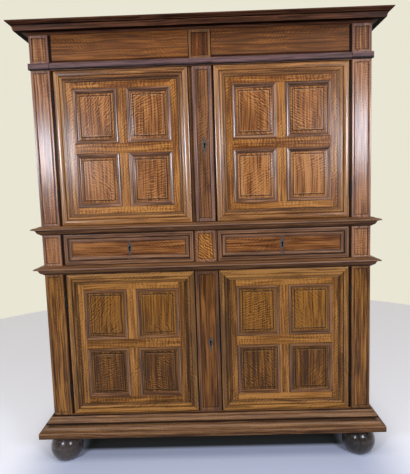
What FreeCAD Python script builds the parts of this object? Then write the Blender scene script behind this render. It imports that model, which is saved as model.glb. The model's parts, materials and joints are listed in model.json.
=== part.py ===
"""Four-door court cupboard with a belt of two drawers, in millimetres.

The origin is under the middle of the piece on the floor, +Z is up and the doors face -Y.
Left and right are those of a person who stands in front of the doors.
"""
import FreeCAD, Part
import math
import os
import re
import Sketcher

from FreeCAD import Placement, Rotation, Vector

doc = FreeCAD.newDocument("court_cupboard")
sheet = doc.addObject("Spreadsheet::Sheet", "Sizes")

# The driving sizes: alias, millimetres, what is measured
driving_sizes = [
    ("body_width", 1600, "over the two end posts"),
    ("body_depth", 560, "body front plane to the back boards"),
    ("post_width", 90, "each corner post, seen from the front"),
    ("post_depth", 60, "each corner post, front to back"),
    ("pilaster_thickness", 12, "flat board planted on a front post"),
    ("pilaster_border", 13, "raised border round a sunk field"),
    ("pilaster_sink", 4, "depth of a sunk field"),
    ("rail_thickness", 38, "front rails, front to back"),
    ("side_thickness", 26, "side rails and muntins"),
    ("back_thickness", 14, "vertical back boards"),
    ("back_rail_thickness", 26, "rails that carry the back boards"),
    ("back_rail_height", 80, "rails that carry the back boards"),
    ("floor_thickness", 20, "case floors"),
    ("shelf_thickness", 18, "loose shelves"),
    ("roof_thickness", 18, "board over the cornice"),
    ("bearer_width", 40, "strips under floors and shelves"),
    ("lower_bearer_height", 20, "strips under the lower floor"),
    ("upper_bearer_height", 12, "strips under the upper floor"),
    ("floor_stop", 8, "floor over the foot of a closed leaf"),
    ("stop_clearance", 0.5, "leaf to the floor edge behind it"),
    ("shelf_setback", 24, "shelf front behind a closed leaf"),
    ("fit_clearance", 0.3, "between pieces that lie or slide together"),
    ("foot_height", 150, "floor to the underside of the plinth"),
    ("foot_width", 164, "turned bun across its belly"),
    ("foot_sole", 100, "bun across its sole"),
    ("foot_neck", 92, "bun across its neck"),
    ("foot_inset", 42, "front foot centre behind and inside the body corner"),
    ("foot_rear_inset", 84, "rear foot centre in front of the back"),
    ("spigot_width", 36, "turned spigot of a foot"),
    ("spigot_length", 40, "turned spigot of a foot"),
    ("spigot_clearance", 0.2, "round the spigot in its block"),
    ("plinth_height", 58, "plinth frame under the lower case"),
    ("plinth_block", 104, "corner block that takes a foot"),
    ("plinth_beam", 60, "beams between the corner blocks"),
    ("plinth_moulding_height", 56, "stepped moulding of the plinth"),
    ("plinth_projection", 63, "stepped moulding of the plinth"),
    ("shadow_gap", 2, "plinth to base moulding"),
    ("base_moulding_height", 36, "ovolo moulding under the lower doors"),
    ("base_projection", 34, "ovolo moulding under the lower doors"),
    ("moulding_margin", 2, "case moulding to the edge of its rail at a door"),
    ("door_gap", 2, "over and under a leaf"),
    ("hinge_gap", 3, "between a leaf and its post"),
    ("lower_door_height", 720, "lower leaves"),
    ("waist_height", 42, "each waist moulding"),
    ("waist_projection", 41, "each waist moulding"),
    ("drawer_gap", 1.5, "over and under a drawer front"),
    ("drawer_height", 151, "drawer fronts"),
    ("case_rail_height", 20, "top rail of the lower case"),
    ("upper_door_height", 732, "upper leaves"),
    ("string_height", 30, "string moulding over the upper doors"),
    ("string_projection", 7, "string moulding over the upper doors"),
    ("string_break", 4, "extra projection round posts and middle"),
    ("frieze_height", 130, "plain boards over the string moulding"),
    ("frieze_board", 8, "thickness of the planted frieze boards"),
    ("frieze_gap", 3, "frieze board to the middle block"),
    ("cornice_height", 46, "cornice moulding"),
    ("cornice_projection", 76, "cornice moulding"),
    ("side_bottom_rail", 92, "bottom rails of the sides"),
    ("lower_side_top_rail", 240, "waist rail of a lower side"),
    ("upper_side_top_rail", 278, "frieze rail of an upper side"),
    ("side_muntin", 80, "upright in the middle of a side"),
    ("side_margin", 4, "flat margin of a side panel"),
    ("side_bevel", 34, "bevel of a side panel"),
    ("leaf_thickness", 26, "stiles and rails of a leaf"),
    ("leaf_setback", 12, "leaf face behind the body front plane"),
    ("leaf_meeting", 56, "free edge of a left leaf past the middle"),
    ("meeting_gap", 3, "between two leaves"),
    ("moulding_start", 62, "door moulding from the middle"),
    ("groove_width", 14, "dark groove between post and door moulding"),
    ("door_moulding_thickness", 14, "large moulding of a leaf"),
    ("upper_moulding_width", 54, "large moulding of an upper leaf"),
    ("lower_moulding_width", 52, "large moulding of a lower leaf"),
    ("stile_reveal", 29, "stile inside the large moulding"),
    ("upper_rail_reveal", 31, "upper leaf rail inside the large moulding"),
    ("lower_rail_reveal", 30, "lower leaf rail inside the large moulding"),
    ("upper_muntin", 44, "upright between two panels"),
    ("lower_muntin", 47, "upright between two panels"),
    ("middle_rail", 47, "rail between two panels"),
    ("upper_border", 21, "moulding round an upper panel"),
    ("lower_border", 19, "moulding round a lower panel"),
    ("upper_bevel", 14, "bevel of an upper panel"),
    ("lower_bevel", 14, "bevel of a lower panel"),
    ("border_thickness", 13, "moulding round a panel"),
    ("panel_margin", 8, "panel edge behind the leaf face"),
    ("panel_tongue", 6, "panel edge in its groove"),
    ("panel_rise", 5, "panel field over its edge"),
    ("panel_backing", 4, "panel body behind its edge"),
    ("groove_depth", 9, "groove round a panel"),
    ("tenon_length", 30, "rail tenons"),
    ("tenon_shoulder", 12, "rail edge to tenon edge"),
    ("tenon_set", 9, "face of a board to its tenon"),
    ("strip_thickness", 12, "strips over the meeting of the leaves"),
    ("strip_border", 17, "raised border round the sunk field of a strip"),
    ("upper_strip_left", 41, "strip over the upper meeting, left of the middle"),
    ("upper_strip_right", 51, "strip over the upper meeting, right of the middle"),
    ("lower_strip_left", 56, "strip over the lower meeting, left of the middle"),
    ("lower_strip_right", 56, "strip over the lower meeting, right of the middle"),
    ("belt_block_width", 98, "block between the drawers"),
    ("frieze_block_width", 102, "block in the middle of the frieze"),
    ("divider_width", 114, "upright between the drawers"),
    ("drawer_start", 59, "drawer front from the middle"),
    ("drawer_front_thickness", 22, "drawer front board"),
    ("drawer_moulding_width", 41, "moulding round a drawer front"),
    ("drawer_moulding_thickness", 13, "moulding round a drawer front"),
    ("drawer_margin", 1, "moulding to the edges of the drawer front"),
    ("drawer_side_thickness", 12, "drawer sides and back"),
    ("drawer_side_height", 140, "drawer sides and back"),
    ("drawer_back_space", 26, "drawer back to the back rails"),
    ("drawer_bottom_thickness", 8, "drawer bottom"),
    ("drawer_bottom_rise", 10, "drawer bottom over the lower edge of the sides"),
    ("drawer_lap", 12, "drawer side let into the front"),
    ("drawer_groove", 5, "drawer bottom let into the sides"),
    ("runner_width", 28, "strip under a drawer side"),
    ("runner_height", 20, "strip under a drawer side"),
    ("barrel_width", 12, "hinge barrel"),
    ("barrel_length", 80, "hinge barrel, both halves"),
    ("hinge_pin_width", 6, "hinge pin"),
    ("hinge_pin_reach", 34, "hinge pin over the middle of the barrel"),
    ("pin_clearance", 0.08, "round the pin in its knuckle"),
    ("hinge_plate", 2, "hinge plates"),
    ("hinge_set", 3, "hinge axis behind the body front plane"),
    ("hinge_plate_margin", 4, "hinge plate to the back of the leaf"),
    ("upper_hinge_top", 126, "upper leaf top to the hinge middle"),
    ("upper_hinge_bottom", 134, "upper leaf foot to the hinge middle"),
    ("lower_hinge_top", 130, "lower leaf top to the hinge middle"),
    ("lower_hinge_bottom", 128, "lower leaf foot to the hinge middle"),
    ("upper_lock_height", 370, "upper leaf foot to the keyhole"),
    ("lower_lock_height", 360, "lower leaf foot to the keyhole"),
    ("drawer_lock_height", 80, "drawer foot to the keyhole"),
    ("drawer_lock_place", 375, "drawer keyhole from the middle"),
    ("lock_place", 10, "keyhole and lock case of a door, right of the middle"),
    ("lock_width", 90, "door lock case"),
    ("lock_height", 110, "door lock case"),
    ("lock_thickness", 18, "door lock case"),
    ("lock_wall", 4, "plate of a lock case"),
    ("lock_bolt_height", 18, "door lock bolt"),
    ("lock_bolt_thickness", 6, "lock bolts"),
    ("lock_bolt_reach", 54, "door lock bolt from the middle, drawn back"),
    ("lock_bolt_length", 74, "door lock bolt"),
    ("drawer_lock_width", 70, "drawer lock case"),
    ("drawer_lock_drop", 42, "drawer lock case under its keyhole"),
    ("drawer_lock_rise", 66, "drawer lock case over its keyhole"),
    ("drawer_lock_thickness", 14, "drawer lock case"),
    ("drawer_bolt_width", 26, "drawer lock bolt"),
    ("drawer_bolt_length", 50, "drawer lock bolt"),
    ("keyhole_width", 6, "slot of a keyhole"),
    ("keyhole_height", 20, "slot of a keyhole"),
    ("keyhole_eye", 11, "round end of a keyhole"),
    ("escutcheon_thickness", 1.5, "keyhole plates"),
    ("door_escutcheon_width", 24, "keyhole plate of a leaf"),
    ("door_escutcheon_height", 96, "keyhole plate of an upper leaf"),
    ("low_escutcheon_height", 80, "keyhole plate of a lower leaf"),
    ("drawer_escutcheon_width", 22, "keyhole plate of a drawer"),
    ("drawer_escutcheon_height", 95, "keyhole plate of a drawer"),
    ("slip_bolt_place", 110, "slip bolt from the middle"),
    ("slip_bolt_width", 10, "slip bolt rod"),
    ("slip_bolt_length", 190, "slip bolt rod"),
    ("slip_bolt_drop", 4, "slip bolt under the top of its leaf, drawn back"),
    ("slip_bolt_stand", 7, "slip bolt axis behind the leaf back"),
    ("slip_bolt_knob", 16, "knob of a slip bolt"),
    ("staple_width", 24, "staples that guide a slip bolt"),
    ("staple_depth", 14, "staples that guide a slip bolt"),
    ("staple_height", 12, "staples that guide a slip bolt"),
    ("upper_staple_drop", 40, "leaf top to the upper staple"),
    ("lower_staple_rise", 60, "slip bolt foot to the lower staple"),
    ("knob_rise", 12, "slip bolt foot to its knob"),
    ("knob_length", 14, "knob behind the axis of the slip bolt"),
    ("first_upper_shelf", 240, "upper floor to the first shelf"),
    ("second_upper_shelf", 490, "upper floor to the second shelf"),
    ("lower_shelf", 350, "lower floor to its shelf"),
    ("overrun", 5, "how far a cut runs past what it cuts"),
]
for row, (alias, millimetres, meaning) in enumerate(driving_sizes, 1):
    sheet.set(f"A{row}", alias)
    sheet.set(f"B{row}", str(millimetres))
    sheet.setAlias(f"B{row}", alias)
    sheet.set(f"C{row}", meaning)
doc.recompute()
aliases = {alias for alias, millimetres, meaning in driving_sizes}

# Planes and edges of the piece, each worked out from the driving sizes
places = {
    "front": "(cornice_projection - body_depth) / 2",
    "back": "front + body_depth",
    "half_body": "body_width / 2",
    "post_inner": "half_body - post_width",
    "post_front": "front + pilaster_thickness",
    "post_rear": "post_front + post_depth",
    "back_post_front": "back - post_depth",
    "rail_back": "front + rail_thickness",
    "frame_front": "front + leaf_setback",
    "frame_back": "frame_front + leaf_thickness",
    "board_front": "back - back_thickness",
    "back_rail_front": "board_front - back_rail_thickness",
    "floor_front": "frame_back + stop_clearance",
    "shelf_front": "frame_back + shelf_setback",
    "side_inner": "half_body - side_thickness",
    "side_middle": "(post_rear + back_post_front) / 2",
    "side_reach": "(back_post_front - post_rear) / 2",
    "plinth_top": "foot_height + plinth_height",
    "base_bottom": "plinth_top + shadow_gap",
    "base_top": "base_bottom + base_moulding_height",
    "lower_rail_top": "base_top + moulding_margin",
    "lower_door_bottom": "lower_rail_top + door_gap",
    "lower_door_top": "lower_door_bottom + lower_door_height",
    "belt_rail_bottom": "lower_door_top + door_gap",
    "belt_moulding_bottom": "belt_rail_bottom + moulding_margin",
    "belt_rail_top": "belt_moulding_bottom + waist_height",
    "drawer_bottom": "belt_rail_top + drawer_gap",
    "drawer_top": "drawer_bottom + drawer_height",
    "case_rail_bottom": "drawer_top + drawer_gap",
    "case_split": "case_rail_bottom + case_rail_height",
    "upper_rail_top": "case_rail_bottom + waist_height",
    "upper_door_bottom": "upper_rail_top + door_gap",
    "upper_door_top": "upper_door_bottom + upper_door_height",
    "head_rail_bottom": "upper_door_top + door_gap",
    "string_bottom": "head_rail_bottom + moulding_margin",
    "frieze_bottom": "string_bottom + string_height",
    "frieze_top": "frieze_bottom + frieze_height",
    "top": "frieze_top + cornice_height",
    "roof_bottom": "top - roof_thickness",
    "lower_floor_top": "lower_door_bottom + floor_stop",
    "upper_floor_top": "upper_door_bottom + floor_stop",
    "leaf_outer": "post_inner - hinge_gap",
    "moulding_end": "post_inner - groove_width",
    "moulded_width": "moulding_end - moulding_start",
    "right_leaf_edge": "leaf_meeting + meeting_gap",
    "hinge_x": "post_inner - groove_width / 2",
    "hinge_y": "front + hinge_set",
    "upper_open_near": "moulding_start + upper_moulding_width + stile_reveal",
    "upper_open_far": "moulding_end - upper_moulding_width - stile_reveal",
    "upper_open_width": "(upper_open_far - upper_open_near - upper_muntin) / 2",
    "upper_open_bottom": "upper_door_bottom + upper_moulding_width + upper_rail_reveal",
    "upper_open_top": "upper_door_top - upper_moulding_width - upper_rail_reveal",
    "upper_open_height": "(upper_open_top - upper_open_bottom - middle_rail) / 2",
    "lower_open_near": "moulding_start + lower_moulding_width + stile_reveal",
    "lower_open_far": "moulding_end - lower_moulding_width - stile_reveal",
    "lower_open_width": "(lower_open_far - lower_open_near - lower_muntin) / 2",
    "lower_open_bottom": "lower_door_bottom + lower_moulding_width + lower_rail_reveal",
    "lower_open_top": "lower_door_top - lower_moulding_width - lower_rail_reveal",
    "lower_open_height": "(lower_open_top - lower_open_bottom - middle_rail) / 2",
    "drawer_face_start": "drawer_start + drawer_margin",
    "drawer_face_width": "moulding_end - drawer_face_start",
    "drawer_face_height": "drawer_height - 2 * drawer_margin",
    "drawer_front_back": "frame_front + drawer_front_thickness",
    "drawer_rear": "back_rail_front - drawer_back_space",
    "runner_top": "drawer_bottom - fit_clearance",
    "drawer_lock_z": "drawer_bottom + drawer_lock_height",
    "upper_lock_z": "upper_door_bottom + upper_lock_height",
    "lower_lock_z": "lower_door_bottom + lower_lock_height",
}


def bound(formula):
    """The formula with each place written out and each alias read from the sheet."""

    def word(match):
        name = match.group(0)
        if name in places:
            return f"({bound(places[name])})"
        return f"Sizes.{name}" if name in aliases else name

    return re.sub(r"[a-z][a-z_]*", word, formula)


def value(formula):
    """The number that a formula has now."""
    return float(sheet.evalExpression(bound(formula)))


def tie(thing, values):
    """Bind properties of an object to formulas."""
    for name, formula in values.items():
        thing.setExpression(name, bound(formula))
    return thing


def board(name, x, y, z):
    """A squared board between three pairs of faces."""
    piece = doc.addObject("Part::Box", name)
    for side, axis, (low, high) in zip(("Length", "Width", "Height"), "xyz", (x, y, z)):
        tie(piece, {side: f"({high}) - ({low})", f"Placement.Base.{axis}": low})
    return piece


def rod(name, radius, length, base, direction=Vector(0, 0, 1)):
    """A round bar from its base point along a direction."""
    piece = doc.addObject("Part::Cylinder", name)
    piece.Placement = Placement(Vector(), Rotation(Vector(0, 0, 1), direction))
    return tie(piece, {
        "Radius": radius,
        "Height": length,
        "Placement.Base.x": base[0],
        "Placement.Base.y": base[1],
        "Placement.Base.z": base[2],
    })


def together(name, pieces):
    """Separate solids kept side by side."""
    result = doc.addObject("Part::Compound", name)
    result.Links = pieces
    return result


def joined(name, pieces):
    """One solid out of several shapes."""
    result = doc.addObject("Part::MultiFuse", name)
    result.Shapes = pieces
    return result


def cut(name, piece, tools):
    """A piece less the tools, which don't touch each other."""
    result = doc.addObject("Part::Cut", name)
    result.Base = piece
    result.Tool = tools[0] if len(tools) == 1 else together(f"{name}_tools", tools)
    return result


def mirrored(name, piece):
    """The same piece for the other side of the middle plane."""
    result = doc.addObject("Part::Mirroring", name)
    result.Source = piece
    result.Normal = Vector(1, 0, 0)
    return result


def copy(name, piece, base, turn=Rotation()):
    """The same piece again at another place."""
    result = doc.addObject("App::Link", name)
    result.LinkedObject = piece
    result.Placement = Placement(Vector(), turn)
    return tie(result, {f"Placement.Base.{axis}": formula for axis, formula in zip("xyz", base)})


sub_parts = []


def sub_part(label, pieces):
    """A finished sub-part: its label names its file."""
    result = together(label, pieces)
    result.Label = label
    sub_parts.append(result)
    return result


def hand(side, near, far):
    """A span measured from the middle plane, on the left or on the right."""
    return (near, far) if side == "right" else (f"-({far})", f"-({near})")


def draw(body, role, corners, name):
    """A closed sketch on an origin plane of its body.

    Each corner is two formulas and, where the edge that leaves it is round, that edge's rise
    as a share of its chord: positive swells out of an outline that runs anticlockwise.
    """
    sketch = body.newObject("Sketcher::SketchObject", name)
    plane = [part for part in body.Origin.OriginFeatures if part.Role == role][0]
    sketch.AttachmentSupport = (plane, [""])
    sketch.MapMode = "FlatFace"
    points = [Vector(value(corner[0]), value(corner[1]), 0) for corner in corners]
    ends = []
    for index, corner in enumerate(corners):
        start = points[index]
        end = points[(index + 1) % len(points)]
        if len(corner) == 2:
            sketch.addGeometry(Part.LineSegment(start, end))
            ends.append((1, 2))
            continue
        rise_share = corner[2]
        chord = end - start
        away = Vector(chord.y, -chord.x, 0) / chord.Length
        size = abs(rise_share)
        radius = chord.Length * (1 / (8 * size) + size / 2)
        sign = math.copysign(1, rise_share)
        centre = (start + end) / 2 + away * sign * (size * chord.Length - radius)
        first, last = (start, end) if rise_share > 0 else (end, start)
        angles = [math.atan2(p.y - centre.y, p.x - centre.x) for p in (first, last)]
        circle = Part.Circle(centre, Vector(0, 0, 1), radius)
        sketch.addGeometry(Part.ArcOfCircle(circle, angles[0], angles[1]))
        ends.append((1, 2) if rise_share > 0 else (2, 1))
    for index in range(len(corners)):
        following = (index + 1) % len(corners)
        sketch.addConstraint(Sketcher.Constraint(
            "Coincident", index, ends[index][1], following, ends[following][0]))
    for index, corner in enumerate(corners):
        for kind, axis, formula in zip(("DistanceX", "DistanceY"), (-2, -1), corner):
            if formula == "0":
                sketch.addConstraint(Sketcher.Constraint(
                    "PointOnObject", index, ends[index][0], axis))
                continue
            number = sketch.addConstraint(Sketcher.Constraint(
                kind, -1, 1, index, ends[index][0], value(formula)))
            tie(sketch, {f"Constraints[{number}]": formula})
    for index, corner in enumerate(corners):
        if len(corner) == 2:
            continue
        following = corners[(index + 1) % len(corners)]
        size = abs(corner[2])
        chord = " + ".join(
            f"(({high}) - ({low}))^2" for low, high in zip(corner[:2], following[:2]))
        formula = f"sqrt({chord}) * (1 / (8 * {size}) + {size} / 2)"
        number = sketch.addConstraint(Sketcher.Constraint("Radius", index, value(formula)))
        tie(sketch, {f"Constraints[{number}]": formula})
    return sketch


def scaled(shares, across, up):
    """Corners given as shares of two sizes, written as formulas."""
    corners = []
    for corner in shares:
        place = tuple("0" if share == 0 else f"{share} * ({size})"
                      for share, size in zip(corner[:2], (across, up)))
        corners.append(place + tuple(corner[2:]))
    return corners


def facing(outward, inward):
    """Turn a strip so that its first outline axis looks outward and its second inward."""
    return Rotation(outward.cross(inward), outward, inward, "XYZ")


def strip(name, corners, width, length, grows=False, ends=(1, -1)):
    """A length of moulding along X whose ends are mitred.

    The strip gets shorter across its width, as in a picture frame, or grows, as round a case.
    """
    body = doc.addObject("PartDesign::Body", name)
    section = draw(body, "YZ_Plane", corners, f"{name}_section")
    run = body.newObject("PartDesign::Pad", f"{name}_run")
    run.Profile = section
    run.SideType = "Symmetric"
    tie(run, {"Length": length})
    for end in ends:
        tip = f"{end} * ({length}) / 2"
        heel = f"{end} * (({length}) / 2 - ({width}))"
        out = f"{end} * overrun"
        if grows:
            mitre = [
                (f"{heel} - {out}", "-overrun"),
                (f"{tip} + {out}", "-overrun"),
                (f"{tip} + {out}", f"{width} + overrun"),
            ]
        else:
            mitre = [
                (f"{tip} + {out}", "-overrun"),
                (f"{tip} + {out}", f"{width} + overrun"),
                (f"{heel} - {out}", f"{width} + overrun"),
            ]
        waste = body.newObject("PartDesign::Pocket", f"{name}_mitre")
        waste.Profile = draw(body, "XZ_Plane", mitre, f"{name}_mitre_line")
        waste.Type = "ThroughAll"
        waste.SideType = "Symmetric"
    return body


FRONTWARD = Vector(0, -1, 0)
UPWARD = Vector(0, 0, 1)
RIGHTWARD = Vector(1, 0, 0)


def mitred_frame(name, shares, thickness, width, across, up):
    """Four mitred strips round a rectangle about the origin, standing out towards the front."""
    corners = scaled(shares, thickness, width)
    rail = strip(f"{name}_rail", corners, width, across)
    rail.Placement = Placement(Vector(), facing(FRONTWARD, UPWARD))
    tie(rail, {"Placement.Base.z": f"-({up}) / 2"})
    stile = strip(f"{name}_stile", corners, width, up)
    stile.Placement = Placement(Vector(), facing(FRONTWARD, RIGHTWARD))
    tie(stile, {"Placement.Base.x": f"-({across}) / 2"})
    top_rail = copy(f"{name}_top", rail, ("0", "0", f"({up}) / 2"), facing(FRONTWARD, -UPWARD))
    far_stile = copy(
        f"{name}_far", stile, (f"({across}) / 2", "0", "0"), facing(FRONTWARD, -RIGHTWARD))
    return together(name, [rail, stile, top_rail, far_stile])


def case_moulding(name, shares, height, projection, level):
    """A moulding along the front and both sides, mitred at the front corners."""
    corners = scaled(shares, height, projection)
    front_strip = strip(
        f"{name}_front", corners, projection, f"body_width + 2 * {projection}", grows=True)
    front_strip.Placement = Placement(Vector(), facing(UPWARD, FRONTWARD))
    tie(front_strip, {"Placement.Base.y": "front", "Placement.Base.z": level})
    left = strip(
        f"{name}_left", corners, projection, f"body_depth + {projection}", grows=True, ends=(1,))
    left.Placement = Placement(Vector(), facing(UPWARD, -RIGHTWARD))
    tie(left, {
        "Placement.Base.x": "-half_body",
        "Placement.Base.y": f"(front + back - {projection}) / 2",
        "Placement.Base.z": level,
    })
    return [front_strip, left, mirrored(f"{name}_right", left)]


def fielded_panel(name, column, row, face, border, bevel):
    """A panel with a tongue all round, a bevel and a raised field, looking to the front."""
    margin = f"{face} + panel_margin"
    tongue = board(
        f"{name}_tongue",
        (f"{column[0]} - groove_depth", f"{column[1]} + groove_depth"),
        (margin, f"{margin} + panel_tongue"),
        (f"{row[0]} - groove_depth", f"{row[1]} + groove_depth"))
    field = tie(doc.addObject("Part::Wedge", f"{name}_field"), {
        "Ymin": f"{margin} - panel_rise",
        "Ymax": margin,
        "Xmin": f"{column[0]} + {border} + {bevel}",
        "Xmax": f"{column[1]} - {border} - {bevel}",
        "Zmin": f"{row[0]} + {border} + {bevel}",
        "Zmax": f"{row[1]} - {border} - {bevel}",
        "X2min": f"{column[0]} + {border}",
        "X2max": f"{column[1]} - {border}",
        "Z2min": f"{row[0]} + {border}",
        "Z2max": f"{row[1]} - {border}",
    })
    body = board(
        f"{name}_body",
        (f"{column[0]} + {bevel}", f"{column[1]} - {bevel}"),
        (f"{margin} + panel_tongue", f"{margin} + panel_tongue + panel_backing"),
        (f"{row[0]} + {bevel}", f"{row[1]} - {bevel}"))
    return joined(name, [tongue, field, body]), tongue


def framework(name, across, up, depth, columns, rows, border, bevel):
    """Stiles, rails and muntins tenoned together round fielded panels.

    With no outer faces across, the posts beside it serve as stiles. The last list returned holds
    the tenons and tongues that reach into the stiles.
    """
    face, rear = depth
    inside = (f"{face} + tenon_set", f"{rear} - tenon_set")
    panels = []
    tongues = []
    for row_number, row in enumerate(rows):
        for column_number, column in enumerate(columns):
            panel, tongue = fielded_panel(
                f"{name}_panel_{row_number}{column_number}", column, row, face, border, bevel)
            panels.append(panel)
            tongues.append(tongue)
    uprights = []
    stubs = []
    gaps = [(left[1], right[0]) for left, right in zip(columns, columns[1:])]
    for row_number, row in enumerate(rows):
        for gap in gaps:
            body = board(f"{name}_muntin_body", gap, depth, row)
            stub = board(
                f"{name}_muntin_stub",
                (f"{gap[0]} + tenon_shoulder", f"{gap[1]} - tenon_shoulder"),
                inside,
                (f"{row[0]} - groove_depth", f"{row[1]} + groove_depth"))
            stubs.append(stub)
            upright = joined(f"{name}_muntin_{row_number}", [body, stub])
            uprights.append(cut(f"{name}_muntin_cut_{row_number}", upright, tongues))
    levels = [up[0]] + [edge for row in rows for edge in row] + [up[1]]
    opening = (columns[0][0], columns[-1][1])
    rails = []
    tenons = []
    for low, high in zip(levels[::2], levels[1::2]):
        body = board(f"{name}_rail_body", opening, depth, (low, high))
        tenon = board(
            f"{name}_rail_tenon",
            (f"{opening[0]} - tenon_length", f"{opening[1]} + tenon_length"),
            inside,
            (f"{low} + tenon_shoulder", f"{high} - tenon_shoulder"))
        tenons.append(tenon)
        blank = joined(f"{name}_rail_blank", [body, tenon])
        rails.append(cut(f"{name}_rail", blank, tongues + stubs))
    stiles = []
    if across:
        for low, high in ((across[0], opening[0]), (opening[1], across[1])):
            blank = board(f"{name}_stile_blank", (low, high), depth, up)
            stiles.append(cut(f"{name}_stile", blank, tenons + tongues))
    return stiles + rails + uprights, panels, tenons + tongues


# Turned bun feet: a zone of a ball, a neck and a spigot in the corner block over it
belly_level = "sqrt((foot_width / 2)^2 - (foot_sole / 2)^2)"
neck_level = f"{belly_level} + sqrt((foot_width / 2)^2 - (foot_neck / 2)^2)"
bun = tie(doc.addObject("Part::Sphere", "foot_bun"), {
    "Radius": "foot_width / 2",
    "Angle1": "-acos(foot_sole / foot_width)",
    "Angle2": "acos(foot_neck / foot_width)",
    "Placement.Base.z": belly_level,
})
neck = rod("foot_neck_rod", "foot_neck / 2", f"foot_height - ({neck_level})", ("0", "0", neck_level))
spigot = rod("foot_spigot", "spigot_width / 2", "spigot_length", ("0", "0", "foot_height"))
foot = joined("foot", [bun, neck, spigot])
foot_x = "half_body - foot_inset"
foot_front_y = "front + foot_inset"
foot_rear_y = "back - foot_rear_inset"
foot_centres = {
    "foot_front_left": (f"-({foot_x})", foot_front_y, "0"),
    "foot_front_right": (foot_x, foot_front_y, "0"),
    "foot_rear_left": (f"-({foot_x})", foot_rear_y, "0"),
    "foot_rear_right": (foot_x, foot_rear_y, "0"),
}
for label, centre in foot_centres.items():
    sub_part(label, [copy(f"{label}_turned", foot, centre)])

# Plinth: beams between corner blocks, which take the foot spigots
blocks = []
for label, centre in foot_centres.items():
    side = label.rsplit("_", 1)[1]
    end = ("front", "front + plinth_block")
    if "rear" in label:
        end = ("back - foot_rear_inset - plinth_block / 2", "back")
    block = board(
        f"block_{label}", hand(side, "half_body - plinth_block", "half_body"), end,
        ("foot_height", "plinth_top"))
    bore = rod(
        f"bore_{label}", "spigot_width / 2 + spigot_clearance", "spigot_length + fit_clearance",
        (centre[0], centre[1], "foot_height"))
    blocks.append(cut(f"bored_{label}", block, [bore]))
beam_span = ("-(half_body - plinth_block)", "half_body - plinth_block")
beam_level = ("foot_height", "plinth_top")
beams = [
    board("front_beam", beam_span, ("front", "front + plinth_beam"), beam_level),
    board("rear_beam", beam_span, ("back - plinth_beam", "back"), beam_level),
]
for side in ("left", "right"):
    beams.append(board(
        f"{side}_beam",
        hand(side, "half_body - plinth_beam", "half_body"),
        ("front + plinth_block", "back - foot_rear_inset - plinth_block / 2"),
        beam_level))
sub_part("plinth_frame", blocks + beams)

# Case mouldings: shares of height and projection, walked anticlockwise from the wall
plinth_shares = [
    (0, 0), (1, 0), (1, 0.52), (0.93, 0.54), (0.9, 0.6, 0.12), (0.64, 0.72), (0.62, 0.8),
    (0.55, 0.82, 0.14), (0.36, 0.92), (0.34, 1), (0, 1),
]
base_shares = [
    (0, 0), (1, 0), (1, 0.12), (0.9, 0.14), (0.88, 0.28, 0.16), (0.3, 0.86), (0.26, 1), (0, 1),
]
waist_shares = [
    (0, 0), (1, 0), (1, 0.07), (0.93, 0.12, -0.1), (0.82, 0.5, 0.12), (0.68, 0.95), (0.66, 1),
    (0.57, 1), (0.54, 0.93, -0.12), (0.16, 0.2), (0.14, 0.1), (0, 0.1),
]
string_shares = [
    (0, 0), (1, 0), (1, 1), (0.3, 1, -0.15), (0.06, 0.4), (0, 0.4),
]
cornice_shares = [
    (0, 0), (1, 0), (1, 1), (0.9, 1), (0.88, 0.94, -0.14), (0.66, 0.8), (0.64, 0.73),
    (0.14, 0.65), (0.14, 0.3), (0.12, 0.27, 0.15), (0.02, 0.08), (0, 0.05),
]
sub_part("plinth_moulding", case_moulding(
    "plinth_strip", plinth_shares, "plinth_moulding_height", "plinth_projection", "foot_height"))
sub_part("base_moulding", case_moulding(
    "base_strip", base_shares, "base_moulding_height", "base_projection", "base_bottom"))
sub_part("waist_mouldings", case_moulding(
    "belt_foot", waist_shares, "waist_height", "waist_projection", "belt_moulding_bottom")
    + case_moulding(
    "belt_head", waist_shares, "waist_height", "waist_projection", "case_rail_bottom"))
string_breaks = []
for name, span in (
    ("left_break", hand("left", "post_inner", "half_body + string_projection")),
    ("middle_break", ("-frieze_block_width / 2", "frieze_block_width / 2")),
    ("right_break", hand("right", "post_inner", "half_body + string_projection")),
):
    face = "front - string_projection"
    string_breaks.append(board(
        name, span, (f"{face} - string_break", face), ("string_bottom", "frieze_bottom")))
sub_part("string_moulding", string_breaks + case_moulding(
    "string_strip", string_shares, "string_height", "string_projection", "string_bottom"))
sub_part("cornice_moulding", case_moulding(
    "cornice_strip", cornice_shares, "cornice_height", "cornice_projection", "frieze_top"))
sub_part("cornice_top_board", [board(
    "roof", ("-half_body", "half_body"), ("front", "back"), ("roof_bottom", "top"))])


# The two cases: corner posts, front rails, sides, backs and floors
post_span = ("post_inner", "half_body")
inner_span = ("-post_inner", "post_inner")
rail_depth = ("front", "rail_back")
cases = {
    "lower": ("plinth_top", "case_split"),
    "upper": ("case_split", "roof_bottom"),
}
side_rails = {
    "lower": ("side_bottom_rail", "lower_side_top_rail"),
    "upper": ("side_bottom_rail", "upper_side_top_rail"),
}
front_rails = {
    "lower": [
        ("foot_rail", rail_depth, ("plinth_top", "lower_rail_top")),
        ("belt_rail", rail_depth, ("belt_rail_bottom", "belt_rail_top")),
        ("case_rail", rail_depth, ("case_rail_bottom", "case_split")),
    ],
    "upper": [
        ("door_rail", rail_depth, ("case_split", "upper_rail_top")),
        ("head_rail", rail_depth, ("head_rail_bottom", "frieze_bottom")),
        ("frieze_rail", ("post_front", "rail_back"), ("frieze_bottom", "frieze_top")),
        ("cornice_rail", rail_depth, ("frieze_top", "roof_bottom")),
    ],
}
case_posts = {}
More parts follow.
